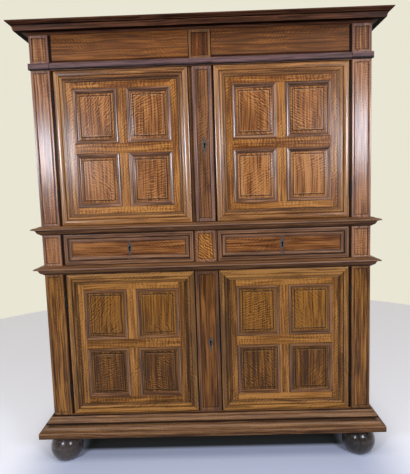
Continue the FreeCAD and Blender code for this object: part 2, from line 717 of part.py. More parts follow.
for case, (low, high) in cases.items():
    posts = []
    for side in ("left", "right"):
        for end, depth in (
            ("front", ("post_front", "post_rear")), ("rear", ("back_post_front", "back")),
        ):
            posts.append(board(
                f"{case}_{end}_{side}_post", hand(side, *post_span), depth, (low, high)))
    case_posts[case] = posts

    rails = []
    sockets = []
    for name, depth, level in front_rails[case]:
        body = board(f"{name}_body", inner_span, depth, level)
        tenon = board(
            f"{name}_tenon",
            ("-post_inner - tenon_length", "post_inner + tenon_length"),
            ("post_front + tenon_set / 2", "rail_back - tenon_set"),
            (f"{level[0]} + tenon_shoulder / 4", f"{level[1]} - tenon_shoulder / 4"))
        rails.append(joined(name, [body, tenon]))
        sockets.append(tenon)
    if case == "lower":
        rails.append(board(
            "divider", ("-divider_width / 2", "divider_width / 2"), ("post_front", "rail_back"),
            ("belt_rail_top", "case_rail_bottom")))
    else:
        for side in ("left", "right"):
            rails.append(board(
                f"frieze_{side}_board",
                hand(side, "frieze_block_width / 2 + frieze_gap", "moulding_end"),
                ("post_front - frieze_board", "post_front"),
                ("frieze_bottom", "frieze_top")))
    sub_part(f"{case}_front_rails", rails)

    back_rails = []
    for name, level in (
        ("foot", (low, f"{low} + back_rail_height")),
        ("head", (f"{high} - back_rail_height", high)),
    ):
        depth = ("back_rail_front", "board_front")
        body = board(f"{case}_back_{name}_body", inner_span, depth, level)
        tenon = board(
            f"{case}_back_{name}_tenon",
            ("-post_inner - tenon_length", "post_inner + tenon_length"),
            ("back_rail_front + tenon_set", "board_front - tenon_set"),
            (f"{level[0]} + tenon_shoulder", f"{level[1]} - tenon_shoulder"))
        back_rails.append(joined(f"{case}_back_{name}", [body, tenon]))
        sockets.append(tenon)
    back_board_count = 6
    for number in range(back_board_count):
        step = f"2 * post_inner / {back_board_count}"
        back_rails.append(board(
            f"{case}_back_board_{number}",
            (f"-post_inner + {number} * ({step})", f"-post_inner + {number + 1} * ({step})"),
            ("board_front", "back"),
            (low, high)))
    sub_part(f"{case}_back", back_rails)

    bottom_rail, top_rail = side_rails[case]
    column_left = ("-side_reach", "-side_muntin / 2")
    column_right = ("side_muntin / 2", "side_reach")
    row = (f"{low} + {bottom_rail}", f"{high} - {top_rail}")
    frame, panels, tongues = framework(
        f"{case}_side", None, (low, high), ("0", "side_thickness"),
        [column_left, column_right], [row], "side_margin", "side_bevel")
    side = together(f"{case}_side_wall", frame + panels)
    side_sockets = together(f"{case}_side_sockets", tongues)
    for hand_name, sign, angle in (("left", "-", -90), ("right", "", 90)):
        turn = Rotation(UPWARD, angle)
        place = (f"{sign}half_body", "side_middle", "0")
        sub_part(f"{case}_{hand_name}_side", [
            copy(f"{case}_{hand_name}_wall", side, place, turn)])
        sockets.append(copy(f"{case}_{hand_name}_sockets", side_sockets, place, turn))
    sub_part(f"{case}_posts", [
        cut(f"{post.Name}_jointed", post, sockets) for post in posts])

# Pilaster boards on the front posts, each with a sunk field between two mouldings
fields = {
    "lower": [("base_top", "belt_moulding_bottom"), ("belt_rail_top", "case_rail_bottom")],
    "upper": [("upper_rail_top", "string_bottom"), ("frieze_bottom", "frieze_top")],
}


def sunk_board(name, x, y, z, zones, edge="pilaster_border"):
    """A board whose front has a sunk field, inside a border, in each zone of its height."""
    blank = board(f"{name}_blank", x, y, z)
    sinkings = []
    for number, zone in enumerate(zones):
        sinkings.append(board(
            f"{name}_sinking_{number}",
            (f"{x[0]} + {edge}", f"{x[1]} - {edge}"),
            (f"{y[0]} - overrun", f"{y[0]} + pilaster_sink"),
            (f"{zone[0]} + {edge}", f"{zone[1]} - {edge}")))
    return cut(name, blank, sinkings)


for case, level in cases.items():
    pilasters = []
    for side in ("left", "right"):
        pilasters.append(sunk_board(
            f"{case}_{side}_pilaster", hand(side, *post_span), ("front", "post_front"), level,
            fields[case]))
    block, zone = {
        "lower": ("belt_block_width", ("belt_rail_top", "case_rail_bottom")),
        "upper": ("frieze_block_width", ("frieze_bottom", "frieze_top")),
    }[case]
    pilasters.append(sunk_board(
        f"{case}_middle_block", (f"-{block} / 2", f"{block} / 2"), ("front", "post_front"),
        zone, [zone]))
    sub_part(f"{case}_pilasters", pilasters)

# Floors and shelves are notched round the posts
floors = {
    "lower": ("lower_floor_top", "lower_bearer_height"),
    "upper": ("upper_floor_top", "upper_bearer_height"),
}
room_span = ("-side_inner", "side_inner")
floor_seam = "(floor_front + back_rail_front) / 2"
for case, (level, bearer_height) in floors.items():
    planks = []
    for name, depth in (
        ("front", ("floor_front", floor_seam)), ("rear", (floor_seam, "back_rail_front")),
    ):
        plank = board(
            f"{case}_floor_{name}", room_span, depth, (f"{level} - floor_thickness", level))
        planks.append(cut(f"{case}_floor_{name}_notched", plank, case_posts[case]))
    for name, start in (
        ("left", "-post_inner"), ("middle", "-bearer_width / 2"),
        ("right", "post_inner - bearer_width"),
    ):
        planks.append(board(
            f"{case}_bearer_{name}", (start, f"{start} + bearer_width"),
            ("rail_back", "back_rail_front"),
            (f"{level} - floor_thickness - {bearer_height}", f"{level} - floor_thickness")))
    sub_part(f"{case}_floor", planks)

shelf_places = {
    "lower_shelf_board": ("lower", "lower_floor_top + lower_shelf"),
    "first_shelf_board": ("upper", "upper_floor_top + first_upper_shelf"),
    "second_shelf_board": ("upper", "upper_floor_top + second_upper_shelf"),
}
shelves = []
for name, (case, level) in shelf_places.items():
    plank = board(
        name, room_span, ("shelf_front", "back_rail_front"), (f"{level} - shelf_thickness", level))
    shelves.append(cut(f"{name}_notched", plank, case_posts[case]))
    for side in ("left", "right"):
        shelves.append(board(
            f"{name}_{side}_cleat",
            hand(side, "side_inner - bearer_width / 2", "side_inner"),
            ("post_rear", "back_post_front"),
            (f"{level} - shelf_thickness - bearer_width", f"{level} - shelf_thickness")))
sub_part("shelves", shelves)

# Runners under the drawers and kickers over them, from the front rails to the back
runners = []
for side in ("left", "right"):
    for name, near, far in (
        ("outer", "leaf_outer - runner_width", "side_inner"),
        ("inner", "0", "drawer_start + runner_width"),
    ):
        span = hand(side, near, far)
        plank = board(
            f"{side}_{name}_runner", span, ("rail_back", "back_rail_front"),
            ("runner_top - runner_height", "runner_top"))
        runners.append(cut(f"{side}_{name}_runner_notched", plank, case_posts["lower"])
                       if name == "outer" else plank)
        kicker_span = hand(side, near, "post_inner") if name == "outer" else span
        runners.append(board(
            f"{side}_{name}_kicker", kicker_span, ("rail_back", "back_rail_front"),
            ("case_rail_bottom", "case_split")))
runners.append(board(
    "middle_guide",
    ("-divider_width / 2", "divider_width / 2"),
    ("rail_back", "back_rail_front"), ("runner_top", "runner_top + runner_height")))
sub_part("drawer_runners", runners)

# Keyhole plates: a flattened oval between a drop and a finial, walked anticlockwise
plate_half_shares = [
    (0, 0, 0.25), (0.15, 0.06, 0.25), (0.06, 0.12), (0.2, 0.3), (0.16, 0.35), (0.28, 0.4, 0.11),
    (0.28, 0.84), (0.1, 0.88), (0.1, 0.91, 0.4),
]
keyhole_share = 0.64


def keyhole_plate(name, width, height):
    """A thin plate with its drop at the bottom, standing out towards the front."""
    other_half = []
    for number, corner in reversed(list(enumerate(plate_half_shares))):
        if number == 0:
            continue
        leaving = plate_half_shares[number - 1][2:]
        other_half.append((-corner[0], corner[1]) + tuple(leaving))
    outline = scaled(plate_half_shares + other_half, width, height)
    body = doc.addObject("PartDesign::Body", name)
    pad = body.newObject("PartDesign::Pad", f"{name}_sheet")
    pad.Profile = draw(body, "XZ_Plane", outline, f"{name}_outline")
    tie(pad, {"Length": "escutcheon_thickness"})
    return body


def keyhole(name, place, depth):
    """The cutter for a keyhole: a round eye over a slot, run from one depth to another."""
    across, level = place
    slot = board(
        f"{name}_slot",
        (f"{across} - keyhole_width / 2", f"{across} + keyhole_width / 2"),
        depth, (f"{level} - keyhole_height", level))
    eye = rod(
        f"{name}_eye", "keyhole_eye / 2", f"({depth[1]}) - ({depth[0]})",
        (across, depth[0], level), Vector(0, 1, 0))
    return joined(name, [slot, eye])


# Large moulding of a leaf, moulding round a panel, moulding of a drawer front
leaf_shares = [
    (0, 0), (0.57, 0), (0.57, 0.41), (0.4, 0.41), (0.4, 0.45, 0.4), (0.4, 0.79),
    (0.34, 0.8, -0.12), (0.12, 0.97), (0.12, 1), (0, 1),
]
border_shares = [
    (0, 0), (0.86, 0), (0.86, 0.08), (0.9, 0.12, 0.24), (0.72, 0.62), (0.62, 0.66, -0.15),
    (0.24, 0.9), (0.24, 1), (0, 1),
]
drawer_shares = [
    (0, 0), (0.55, 0), (0.55, 0.54), (0.4, 0.56), (0.4, 0.6, 0.4), (0.4, 0.78),
    (0.34, 0.8, -0.12), (0.12, 0.96), (0.12, 1), (0, 1),
]

# The four leaves: framed panels, mouldings and, on a left leaf, the strip and the lock
for level in ("upper", "lower"):
    up = (f"{level}_door_bottom", f"{level}_door_top")
    width = f"{level}_open_width"
    height = f"{level}_open_height"
    leaf_moulding = mitred_frame(
        f"{level}_leaf_moulding", leaf_shares, "door_moulding_thickness",
        f"{level}_moulding_width", "moulded_width", f"{level}_door_height")
    border = mitred_frame(
        f"{level}_panel_moulding", border_shares, "border_thickness", f"{level}_border",
        width, height)
    plate = keyhole_plate(
        f"{level}_keyhole_plate", "door_escutcheon_width",
        {"upper": "door_escutcheon_height", "lower": "low_escutcheon_height"}[level])
    near_column = (f"{level}_open_near", f"{level}_open_near + {width}")
    far_column = (f"{level}_open_far - {width}", f"{level}_open_far")
    rows = [
        (f"{level}_open_bottom", f"{level}_open_bottom + {height}"),
        (f"{level}_open_top - {height}", f"{level}_open_top"),
    ]
    lock_z = f"{level}_lock_z"
    cutter = keyhole(
        f"{level}_keyhole", ("lock_place", lock_z), ("front - overrun", "frame_back + lock_wall"))
    for side, free_edge in (("left", "-leaf_meeting"), ("right", "right_leaf_edge")):
        door = f"{level}_{side}_door"
        columns = [hand(side, *near_column), hand(side, *far_column)]
        if side == "left":
            columns.reverse()
        frame, panels, tongues = framework(
            door, hand(side, free_edge, "leaf_outer"), up, ("frame_front", "frame_back"),
            columns, rows, f"{level}_border", f"{level}_bevel")
        if side == "left":
            frame[1] = cut(f"{door}_lock_stile", frame[1], [cutter])
        sub_part(f"{door}_frame", frame)
        sub_part(f"{door}_panels", panels)
        middle = "moulding_start / 2 + moulding_end / 2"
        mouldings = [copy(
            f"{door}_large_moulding", leaf_moulding,
            (middle if side == "right" else f"-({middle})", "frame_front",
             f"({up[0]} + {up[1]}) / 2"))]
        for row_number, row in enumerate(rows):
            for column_number, column in enumerate(columns):
                mouldings.append(copy(
                    f"{door}_border_{row_number}{column_number}", border,
                    (f"({column[0]} + {column[1]}) / 2", "frame_front + panel_margin",
                     f"({row[0]} + {row[1]}) / 2")))
        sub_part(f"{door}_mouldings", mouldings)

    strip_span = (f"-{level}_strip_left", f"{level}_strip_right")
    strip_depth = ("frame_front - strip_thickness", "frame_front")
    meeting_strip = sunk_board(
        f"{level}_meeting_strip", strip_span, strip_depth, up, [up], "strip_border")
    sub_part(f"{level}_left_door_strip", [
        cut(f"{level}_strip_keyed", meeting_strip, [cutter])])

    bolt_start = "lock_bolt_reach - lock_bolt_length"
    bolt_face = "frame_back + lock_wall + fit_clearance"
    case_blank = board(
        f"{level}_lock_blank",
        ("lock_place - lock_width / 2", "lock_place + lock_width / 2"),
        ("frame_back", "frame_back + lock_thickness"),
        (f"{lock_z} - lock_height / 2", f"{lock_z} + lock_height / 2"))
    channel = board(
        f"{level}_lock_channel",
        (f"{bolt_start} - fit_clearance", "lock_place + lock_width / 2 + overrun"),
        ("frame_back + lock_wall", f"{bolt_face} + lock_bolt_thickness + fit_clearance"),
        (f"{lock_z} - lock_bolt_height / 2 - fit_clearance",
         f"{lock_z} + lock_bolt_height / 2 + fit_clearance"))
    case_keyed = cut(f"{level}_lock_keyed", case_blank, [cutter])
    plate_height = {"upper": "door_escutcheon_height", "lower": "low_escutcheon_height"}[level]
    placed_plate = copy(
        f"{level}_plate_placed", plate,
        ("lock_place", "frame_front - strip_thickness + pilaster_sink",
         f"{lock_z} - {keyhole_share} * {plate_height}"))
    sub_part(f"{level}_left_door_lock", [
        cut(f"{level}_lock_case", case_keyed, [channel]),
        cut(f"{level}_plate_keyed", placed_plate, [cutter]),
    ])
    sub_part(f"{level}_left_door_lock_bolt", [board(
        f"{level}_lock_bolt", (bolt_start, "lock_bolt_reach"),
        (bolt_face, f"{bolt_face} + lock_bolt_thickness"),
        (f"{lock_z} - lock_bolt_height / 2", f"{lock_z} + lock_bolt_height / 2"))])

# Lift-off hinges: the post half carries the pin, the leaf half turns on it
half_barrel = "barrel_length / 2"
play = "fit_clearance / 2"
axis_place = ("-hinge_x", "hinge_y")
plate_depth = ("hinge_y", "frame_back - hinge_plate_margin")
post_half = joined("hinge_post_half", [
    rod("hinge_post_barrel", "barrel_width / 2", f"{half_barrel} - {play}",
        axis_place + (f"-{half_barrel}",)),
    rod("hinge_pin", "hinge_pin_width / 2", f"{half_barrel} + hinge_pin_reach",
        axis_place + (f"-{half_barrel}",)),
    board("hinge_post_plate", ("-post_inner", "-post_inner + hinge_plate"), plate_depth,
          (f"-{half_barrel}", f"-{play}")),
])
knuckle = cut("hinge_knuckle", rod(
    "hinge_knuckle_blank", "barrel_width / 2", f"{half_barrel} - {play}",
    axis_place + (play,)), [rod(
        "hinge_knuckle_bore", "hinge_pin_width / 2 + pin_clearance",
        "hinge_pin_reach + fit_clearance", axis_place + ("0",))])
leaf_half = joined("hinge_leaf_half", [
    knuckle,
    board("hinge_leaf_plate", ("-leaf_outer - hinge_plate", "-leaf_outer"), plate_depth,
          (play, half_barrel)),
])
hinge_levels = {
    level: {
        "top": f"{level}_door_top - {level}_hinge_top",
        "foot": f"{level}_door_bottom + {level}_hinge_bottom",
    }
    for level in ("upper", "lower")
}
post_halves = {"left": post_half, "right": mirrored("hinge_post_half_right", post_half)}
leaf_halves = {"left": leaf_half, "right": mirrored("hinge_leaf_half_right", leaf_half)}
pintles = []
for level, levels in hinge_levels.items():
    hung = {"left": [], "right": []}
    for name, height in levels.items():
        for side in hung:
            place = ("0", "0", height)
            pintles.append(copy(f"{level}_{side}_{name}_pintle", post_halves[side], place))
            hung[side].append(copy(f"{level}_{side}_{name}_leaf", leaf_halves[side], place))
    sub_part(f"{level}_left_door_ironwork", hung["left"])

    # Slip bolt behind the right leaf, in two staples, with its knob to the inside
    bolt_y = "frame_back + slip_bolt_stand"
    bolt_top = f"{level}_door_top - slip_bolt_drop"
    bolt_foot = f"{bolt_top} - slip_bolt_length"
    staples = []
    for name, foot_level in (
        ("upper", f"{level}_door_top - upper_staple_drop"),
        ("lower", f"{bolt_foot} + lower_staple_rise"),
    ):
        eye = board(
            f"{level}_{name}_staple_blank",
            ("slip_bolt_place - staple_width / 2", "slip_bolt_place + staple_width / 2"),
            ("frame_back", "frame_back + staple_depth"),
            (foot_level, f"{foot_level} + staple_height"))
        bore = rod(
            f"{level}_{name}_staple_bore", "slip_bolt_width / 2 + pin_clearance",
            "staple_height + 2 * overrun",
            ("slip_bolt_place", bolt_y, f"{foot_level} - overrun"))
        staples.append(cut(f"{level}_{name}_staple", eye, [bore]))
    sub_part(f"{level}_right_door_ironwork", hung["right"] + staples)
    sub_part(f"{level}_right_door_slip_bolt", [joined(f"{level}_slip_bolt", [
        rod(f"{level}_slip_rod", "slip_bolt_width / 2", "slip_bolt_length",
            ("slip_bolt_place", bolt_y, bolt_foot)),
        rod(f"{level}_slip_knob", "slip_bolt_knob / 2", "knob_length",
            ("slip_bolt_place", bolt_y, f"{bolt_foot} + knob_rise"), Vector(0, 1, 0)),
    ])])
sub_part("hinge_pintles", pintles)

# Drawers: box sides let into the front, bottom in grooves, moulded face, lock with a rising bolt
front_span = ("drawer_start", "leaf_outer")
side_level = ("drawer_bottom", "drawer_bottom + drawer_side_height")
side_depth = ("drawer_front_back - drawer_lap", "drawer_rear")
near_side = ("drawer_start", "drawer_start + drawer_side_thickness")
far_side = ("leaf_outer - drawer_side_thickness", "leaf_outer")
bottom_level = (
    "drawer_bottom + drawer_bottom_rise",
    "drawer_bottom + drawer_bottom_rise + drawer_bottom_thickness",
)
drawer_sides = [
    board("drawer_near_side", near_side, side_depth, side_level),
    board("drawer_far_side", far_side, side_depth, side_level),
]
drawer_floor = board(
    "drawer_floor", (f"{near_side[1]} - drawer_groove", f"{far_side[0]} + drawer_groove"),
    ("drawer_front_back", "drawer_rear"), bottom_level)
drawer_back = board(
    "drawer_back", (near_side[1], far_side[0]),
    ("drawer_rear - drawer_side_thickness", "drawer_rear"), (bottom_level[1], side_level[1]))
front_blank = board(
    "drawer_front_blank", front_span, ("frame_front", "drawer_front_back"),
    ("drawer_bottom", "drawer_top"))
drawer_cutter = keyhole(
    "drawer_keyhole", ("drawer_lock_place", "drawer_lock_z"),
    ("front - overrun", "drawer_front_back + lock_wall"))
drawer_moulding = mitred_frame(
    "drawer_moulding", drawer_shares, "drawer_moulding_thickness", "drawer_moulding_width",
    "drawer_face_width", "drawer_face_height")
lock_top = "drawer_lock_z + drawer_lock_rise"
lock_case = board(
    "drawer_lock_blank",
    ("drawer_lock_place - drawer_lock_width / 2", "drawer_lock_place + drawer_lock_width / 2"),
    ("drawer_front_back", "drawer_front_back + drawer_lock_thickness"),
    ("drawer_lock_z - drawer_lock_drop", lock_top))
bolt_span = (
    "drawer_lock_place - drawer_bolt_width / 2", "drawer_lock_place + drawer_bolt_width / 2")
bolt_depth = (
    "drawer_front_back + lock_wall + 2 * fit_clearance",
    "drawer_front_back + lock_wall + 2 * fit_clearance + lock_bolt_thickness",
)
lock_channel = board(
    "drawer_lock_channel",
    (f"{bolt_span[0]} - fit_clearance", f"{bolt_span[1]} + fit_clearance"),
    (f"{bolt_depth[0]} - fit_clearance", f"{bolt_depth[1]} + fit_clearance"),
    (f"{lock_top} - drawer_bolt_length - fit_clearance", f"{lock_top} + overrun"))
plate_foot = f"drawer_lock_z - {keyhole_share} * drawer_escutcheon_height"
drawer_plate = copy(
    "drawer_plate_placed",
    keyhole_plate("drawer_plate", "drawer_escutcheon_width", "drawer_escutcheon_height"),
    ("drawer_lock_place", "frame_front", plate_foot))

# The plate is taller than the drawer field, so the moulding is notched round its two ends
plate_notch = board(
    "drawer_plate_notch",
    ("drawer_lock_place - drawer_escutcheon_width / 2 - fit_clearance",
     "drawer_lock_place + drawer_escutcheon_width / 2 + fit_clearance"),
    ("front - overrun", "frame_front"),
    (f"{plate_foot} - fit_clearance",
     f"{plate_foot} + drawer_escutcheon_height + fit_clearance"))
drawer_frame = copy("drawer_moulding_placed", drawer_moulding, (
    "drawer_face_start + drawer_face_width / 2", "frame_front",
    "(drawer_bottom + drawer_top) / 2"))
drawer_pieces = {
    "front": [
        cut("drawer_front_keyed", cut("drawer_front_lapped", front_blank, drawer_sides),
            [drawer_cutter]),
        cut("drawer_moulding_notched", drawer_frame, [plate_notch]),
    ],
    "box": [cut(f"{side.Name}_grooved", side, [drawer_floor]) for side in drawer_sides]
    + [drawer_floor, drawer_back],
    "lock": [
        cut("drawer_lock_case", cut("drawer_lock_keyed", lock_case, [drawer_cutter]),
            [lock_channel]),
        cut("drawer_plate_keyed", drawer_plate, [drawer_cutter]),
    ],
    "lock_bolt": [board(
        "drawer_bolt", bolt_span, bolt_depth, (f"{lock_top} - drawer_bolt_length", lock_top))],
}
for kind, pieces in drawer_pieces.items():
    whole = sub_part(f"right_drawer_{kind}", pieces)
    sub_part(f"left_drawer_{kind}", [mirrored(f"left_{kind}", whole)])

doc.recompute()

faults = []
for thing in doc.Objects:
    if {"Invalid", "Error"} & set(thing.State):
        faults.append(f"{thing.Label}: {thing.State}")
for part in sub_parts:
    if part.Shape.isNull() or not part.Shape.isValid() or not part.Shape.Solids:
        faults.append(f"{part.Label}: no valid shape")
for strip_body in [thing for thing in doc.Objects if thing.TypeId == "PartDesign::Pocket"]:
    if strip_body.Shape.Volume >= strip_body.BaseFeature.Shape.Volume:
        faults.append(f"{strip_body.Label}: the mitre cuts nothing")
if faults:
    raise RuntimeError("\n".join(faults))

os.makedirs("parts", exist_ok=True)
for part in sub_parts:
    part.Shape.exportStep(f"parts/{part.Label}.step")
print(f"{len(sub_parts)} sub-parts, {sum(len(part.Shape.Solids) for part in sub_parts)} solids")
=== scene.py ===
"""Court cupboard in waxed walnut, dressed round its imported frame, in metres."""
import json

import bpy
import numpy as np
from mathutils import Matrix, Vector, geometry

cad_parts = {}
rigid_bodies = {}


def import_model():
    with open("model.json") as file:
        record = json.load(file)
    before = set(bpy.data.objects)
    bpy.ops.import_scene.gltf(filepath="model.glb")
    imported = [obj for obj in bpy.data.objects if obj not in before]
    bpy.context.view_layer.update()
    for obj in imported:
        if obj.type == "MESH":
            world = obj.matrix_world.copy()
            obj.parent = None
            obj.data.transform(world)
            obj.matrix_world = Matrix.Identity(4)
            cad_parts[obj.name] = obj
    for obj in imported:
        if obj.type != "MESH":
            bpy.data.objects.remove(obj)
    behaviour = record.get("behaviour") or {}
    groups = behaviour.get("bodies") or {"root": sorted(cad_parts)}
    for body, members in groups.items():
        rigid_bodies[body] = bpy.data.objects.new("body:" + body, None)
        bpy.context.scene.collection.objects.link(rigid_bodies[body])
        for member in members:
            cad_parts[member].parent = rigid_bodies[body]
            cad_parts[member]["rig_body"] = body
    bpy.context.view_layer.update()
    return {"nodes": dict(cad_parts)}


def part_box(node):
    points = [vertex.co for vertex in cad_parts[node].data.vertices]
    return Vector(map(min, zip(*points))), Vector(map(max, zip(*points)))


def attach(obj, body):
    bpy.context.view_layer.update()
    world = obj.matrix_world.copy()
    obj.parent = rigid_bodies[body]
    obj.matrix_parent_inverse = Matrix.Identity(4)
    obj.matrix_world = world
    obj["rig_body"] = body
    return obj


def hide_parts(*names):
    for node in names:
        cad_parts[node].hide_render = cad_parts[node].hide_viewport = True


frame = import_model()

# The view: the cupboard stands on a pale floor and is seen by a hand camera 2.2 m in front of
# its doors, at chin height, pointing a little down and aside and leaning a little
CAMERA_PLACE = (0.0355, -2.422, 1.370)
LOOK_DOWN = 0.1059
LOOK_ASIDE = 0.0173
LEAN = -0.0321
FOCAL_PIXELS = 450
PICTURE_PIXELS = 474
camera_data = bpy.data.cameras.new("hand_camera")
camera_data.lens = camera_data.sensor_width * FOCAL_PIXELS / PICTURE_PIXELS
right_down_ahead = (
    Matrix.Rotation(LEAN, 3, "Z") @ Matrix.Rotation(LOOK_DOWN, 3, "X")
    @ Matrix.Rotation(LOOK_ASIDE, 3, "Y") @ Matrix(((1, 0, 0), (0, 0, -1), (0, 1, 0))))
facing = (Matrix.Diagonal((1, -1, -1)) @ right_down_ahead).transposed().to_4x4()


def set_up(name, data):
    """A new object in the scene."""
    thing = bpy.data.objects.new(name, data)
    bpy.context.scene.collection.objects.link(thing)
    return thing


camera = set_up("hand_camera", camera_data)
camera.matrix_world = Matrix.Translation(CAMERA_PLACE) @ facing
bpy.context.scene.camera = camera
bpy.context.scene.view_settings.view_transform = "Standard"

# A round pale floor that ends where the wall begins in the picture. A painted glow, seen by the
# camera and in polished surfaces, makes it palest beside the cupboard, away from its shade, and
# a dark colour is painted behind the front feet as the shade under the case
FLOOR_COLOUR = (0.72, 0.79, 1, 1)
UNDER_CASE_PAINTED_SHADE = (0.02, 0.024, 0.026, 1)
FLOOR_PAINTED_GLOW = (1, 0.93, 0.82, 1)
PAINTED_GLOW_STRENGTH = 0.44
FLOOR_ROUGHNESS = 0.7
FLOOR_RADIUS = 3.4
FLOOR_CORNERS = 128
# where soft edges start and end: the painted shade's in front, behind and aside, and the painted
# glow's
PAINTED_SHADE_FRONT = (-0.17, -0.13)
PAINTED_SHADE_BACK = (0.26, 0.32)
PAINTED_SHADE_ASIDE = (0.66, 0.74)
PAINTED_GLOW_ASIDE = (0.7, 1.1)
floor_turn = np.linspace(0, 2 * np.pi, FLOOR_CORNERS, endpoint=False)
floor_rim = FLOOR_RADIUS * np.stack(
    [np.cos(floor_turn), np.sin(floor_turn), 0 * floor_turn], axis=1)
floor_mesh = bpy.data.meshes.new("pale_floor")
floor_mesh.from_pydata(floor_rim.tolist(), [], [tuple(range(FLOOR_CORNERS))])
floor = set_up("pale_floor", floor_mesh)


def feed(node, feeds):
    """A shader node's inputs, set to values or joined to other outputs."""
    for name, value in feeds.items():
        if isinstance(value, bpy.types.NodeSocket):
            node.id_data.links.new(value, node.inputs[name])
        else:
            node.inputs[name].default_value = value


def add(tree, kind, feeds=None, **settings):
    """A new shader node with its settings and its inputs."""
    node = tree.nodes.new(f"ShaderNode{kind}")
    for name, setting in settings.items():
        setattr(node, name, setting)
    feed(node, feeds or {})
    return node


def reckon(tree, operation, *numbers, clamp=False):
    """One operation on values and outputs."""
    return add(tree, "Math", dict(enumerate(numbers)), operation=operation,
               use_clamp=clamp).outputs[0]


def ramp(tree, value, ends, low=0.0, high=1.0, kind="SMOOTHSTEP"):
    """From low to high while a value goes from the first end to the second, and level beyond."""
    return add(tree, "MapRange", {
        "Value": value, "From Min": ends[0], "From Max": ends[1], "To Min": low, "To Max": high,
    }, interpolation_type=kind).outputs[0]


def mixed(tree, factor, first, second, kind="MIX"):
    """The first colour, passing into the second, or multiplied by it, as far as a factor says."""
    return add(tree, "Mix", {0: factor, 6: first, 7: second}, data_type="RGBA",
               blend_type=kind).outputs[2]


def new_finish(name):
    """A new material and its node tree."""
    finish = bpy.data.materials.new(name)
    finish.use_nodes = True
    return finish, finish.node_tree


def seen_plainly(tree):
    """One for what the camera sees, also in a mirror or through glass, else nought."""
    seen = add(tree, "LightPath").outputs
    plainly = seen["Is Camera Ray"]
    for ray in ("Is Glossy Ray", "Is Transmission Ray"):
        plainly = reckon(tree, "MAXIMUM", plainly, seen[ray])
    return plainly


floor_paint, tree = new_finish("pale_floor")
spot = add(tree, "SeparateXYZ", {"Vector": add(tree, "TexCoord").outputs["Object"]}).outputs
aside = reckon(tree, "ABSOLUTE", spot["X"])
# painted shade under the case, soft at its edges, and a painted glow beside the cupboard
behind = ramp(tree, spot["Y"], PAINTED_SHADE_FRONT)
within = ramp(tree, aside, PAINTED_SHADE_ASIDE, 1.0, 0.0)
before = ramp(tree, spot["Y"], PAINTED_SHADE_BACK, 1.0, 0.0, "LINEAR")
painted_shade_extent = reckon(tree, "MULTIPLY", reckon(tree, "MULTIPLY", behind, within), before)
painted_glow = ramp(tree, aside, PAINTED_GLOW_ASIDE, 0.0, PAINTED_GLOW_STRENGTH)
feed(tree.nodes["Principled BSDF"], {
    "Base Color": mixed(tree, painted_shade_extent, FLOOR_COLOUR, UNDER_CASE_PAINTED_SHADE), "Roughness": FLOOR_ROUGHNESS,
    "Emission Color": FLOOR_PAINTED_GLOW,
    "Emission Strength": reckon(tree, "MULTIPLY", painted_glow, seen_plainly(tree))})
floor_mesh.materials.append(floor_paint)

# Two soft windows left and right of the camera and one wide soft light overhead: place, target,
# width and height, power, tint
COOL = (0.84, 0.88, 1)
WARM = (1, 0.93, 0.82)
soft_lights = {
    "left_window": ((-1.66, -2.9, 1.8), (0, 0, 1.35), (0.6, 0.5), 44, COOL),
    "right_window": ((1.77, -2.9, 1.9), (0, 0, 1.35), (0.64, 0.62), 50, COOL),
    "overhead": ((0, -1.7, 3.4), (0, -0.1, 1.3), (3.2, 1.2), 34, WARM),
}
for name, (place, target, size, power, tint) in soft_lights.items():
    light = bpy.data.lights.new(name, "AREA")
    light.shape = "RECTANGLE"
    light.size, light.size_y = size
    light.energy = power
    light.color = tint
    aim = (Vector(target) - Vector(place)).to_track_quat("-Z", "Y").to_matrix().to_4x4()
    set_up(name, light).matrix_world = Matrix.Translation(place) @ aim

# The room's own light is plain and grey. The camera sees a pale wall; so do polished surfaces,
# and it grows dimmer for them towards the far end of the room, behind the camera
ROOM_LIGHT = (0.17, 0.17, 0.175, 1)
WALL_COLOUR = (0.82, 0.79, 0.66, 1)
FAR_WALL_SHARE = 0.3
world = bpy.data.worlds.new("room")
world.use_nodes = True
bpy.context.scene.world = world
room = world.node_tree
way = add(room, "SeparateXYZ", {"Vector": add(room, "TexCoord").outputs["Generated"]})
nearness = ramp(room, way.outputs["Y"], (-0.5, 0.5), FAR_WALL_SHARE, kind="LINEAR")
unseen = reckon(room, "SUBTRACT", 1.0, add(room, "LightPath").outputs["Is Glossy Ray"])
feed(room.nodes["Background"], {
    "Color": mixed(room, seen_plainly(room), ROOM_LIGHT, WALL_COLOUR),
    "Strength": reckon(room, "MAXIMUM", nearness, unseen)})

# Bun feet: turned from one block of wood each, stained nearly black and polished, with a short
# neck and a spigot glued into the plinth; the turner left two fine rings round the belly
random = np.random.default_rng(1690)
CREASE = 0.75
GRAIN_SHIFT = 9


def rings(points, grain, rub):
    """A closed skin: points[ring, corner] joined ring to ring, with a flat cap at each end.

    Corners run anticlockwise seen from the last ring, so that the faces look outwards.
    """
    count, corners = points.shape[:2]
    index = np.arange(count * corners).reshape(count, corners)
    following = np.roll(index, -1, axis=1)
    sides = np.stack([index[:-1], following[:-1], following[1:], index[1:]], axis=-1)
    faces = sides.reshape(-1, 4).tolist() + [index[0, ::-1].tolist(), index[-1].tolist()]
    rub = np.broadcast_to(rub, (count, corners))
    return points.reshape(-1, 3), faces, grain.reshape(-1, 3), rub.ravel()


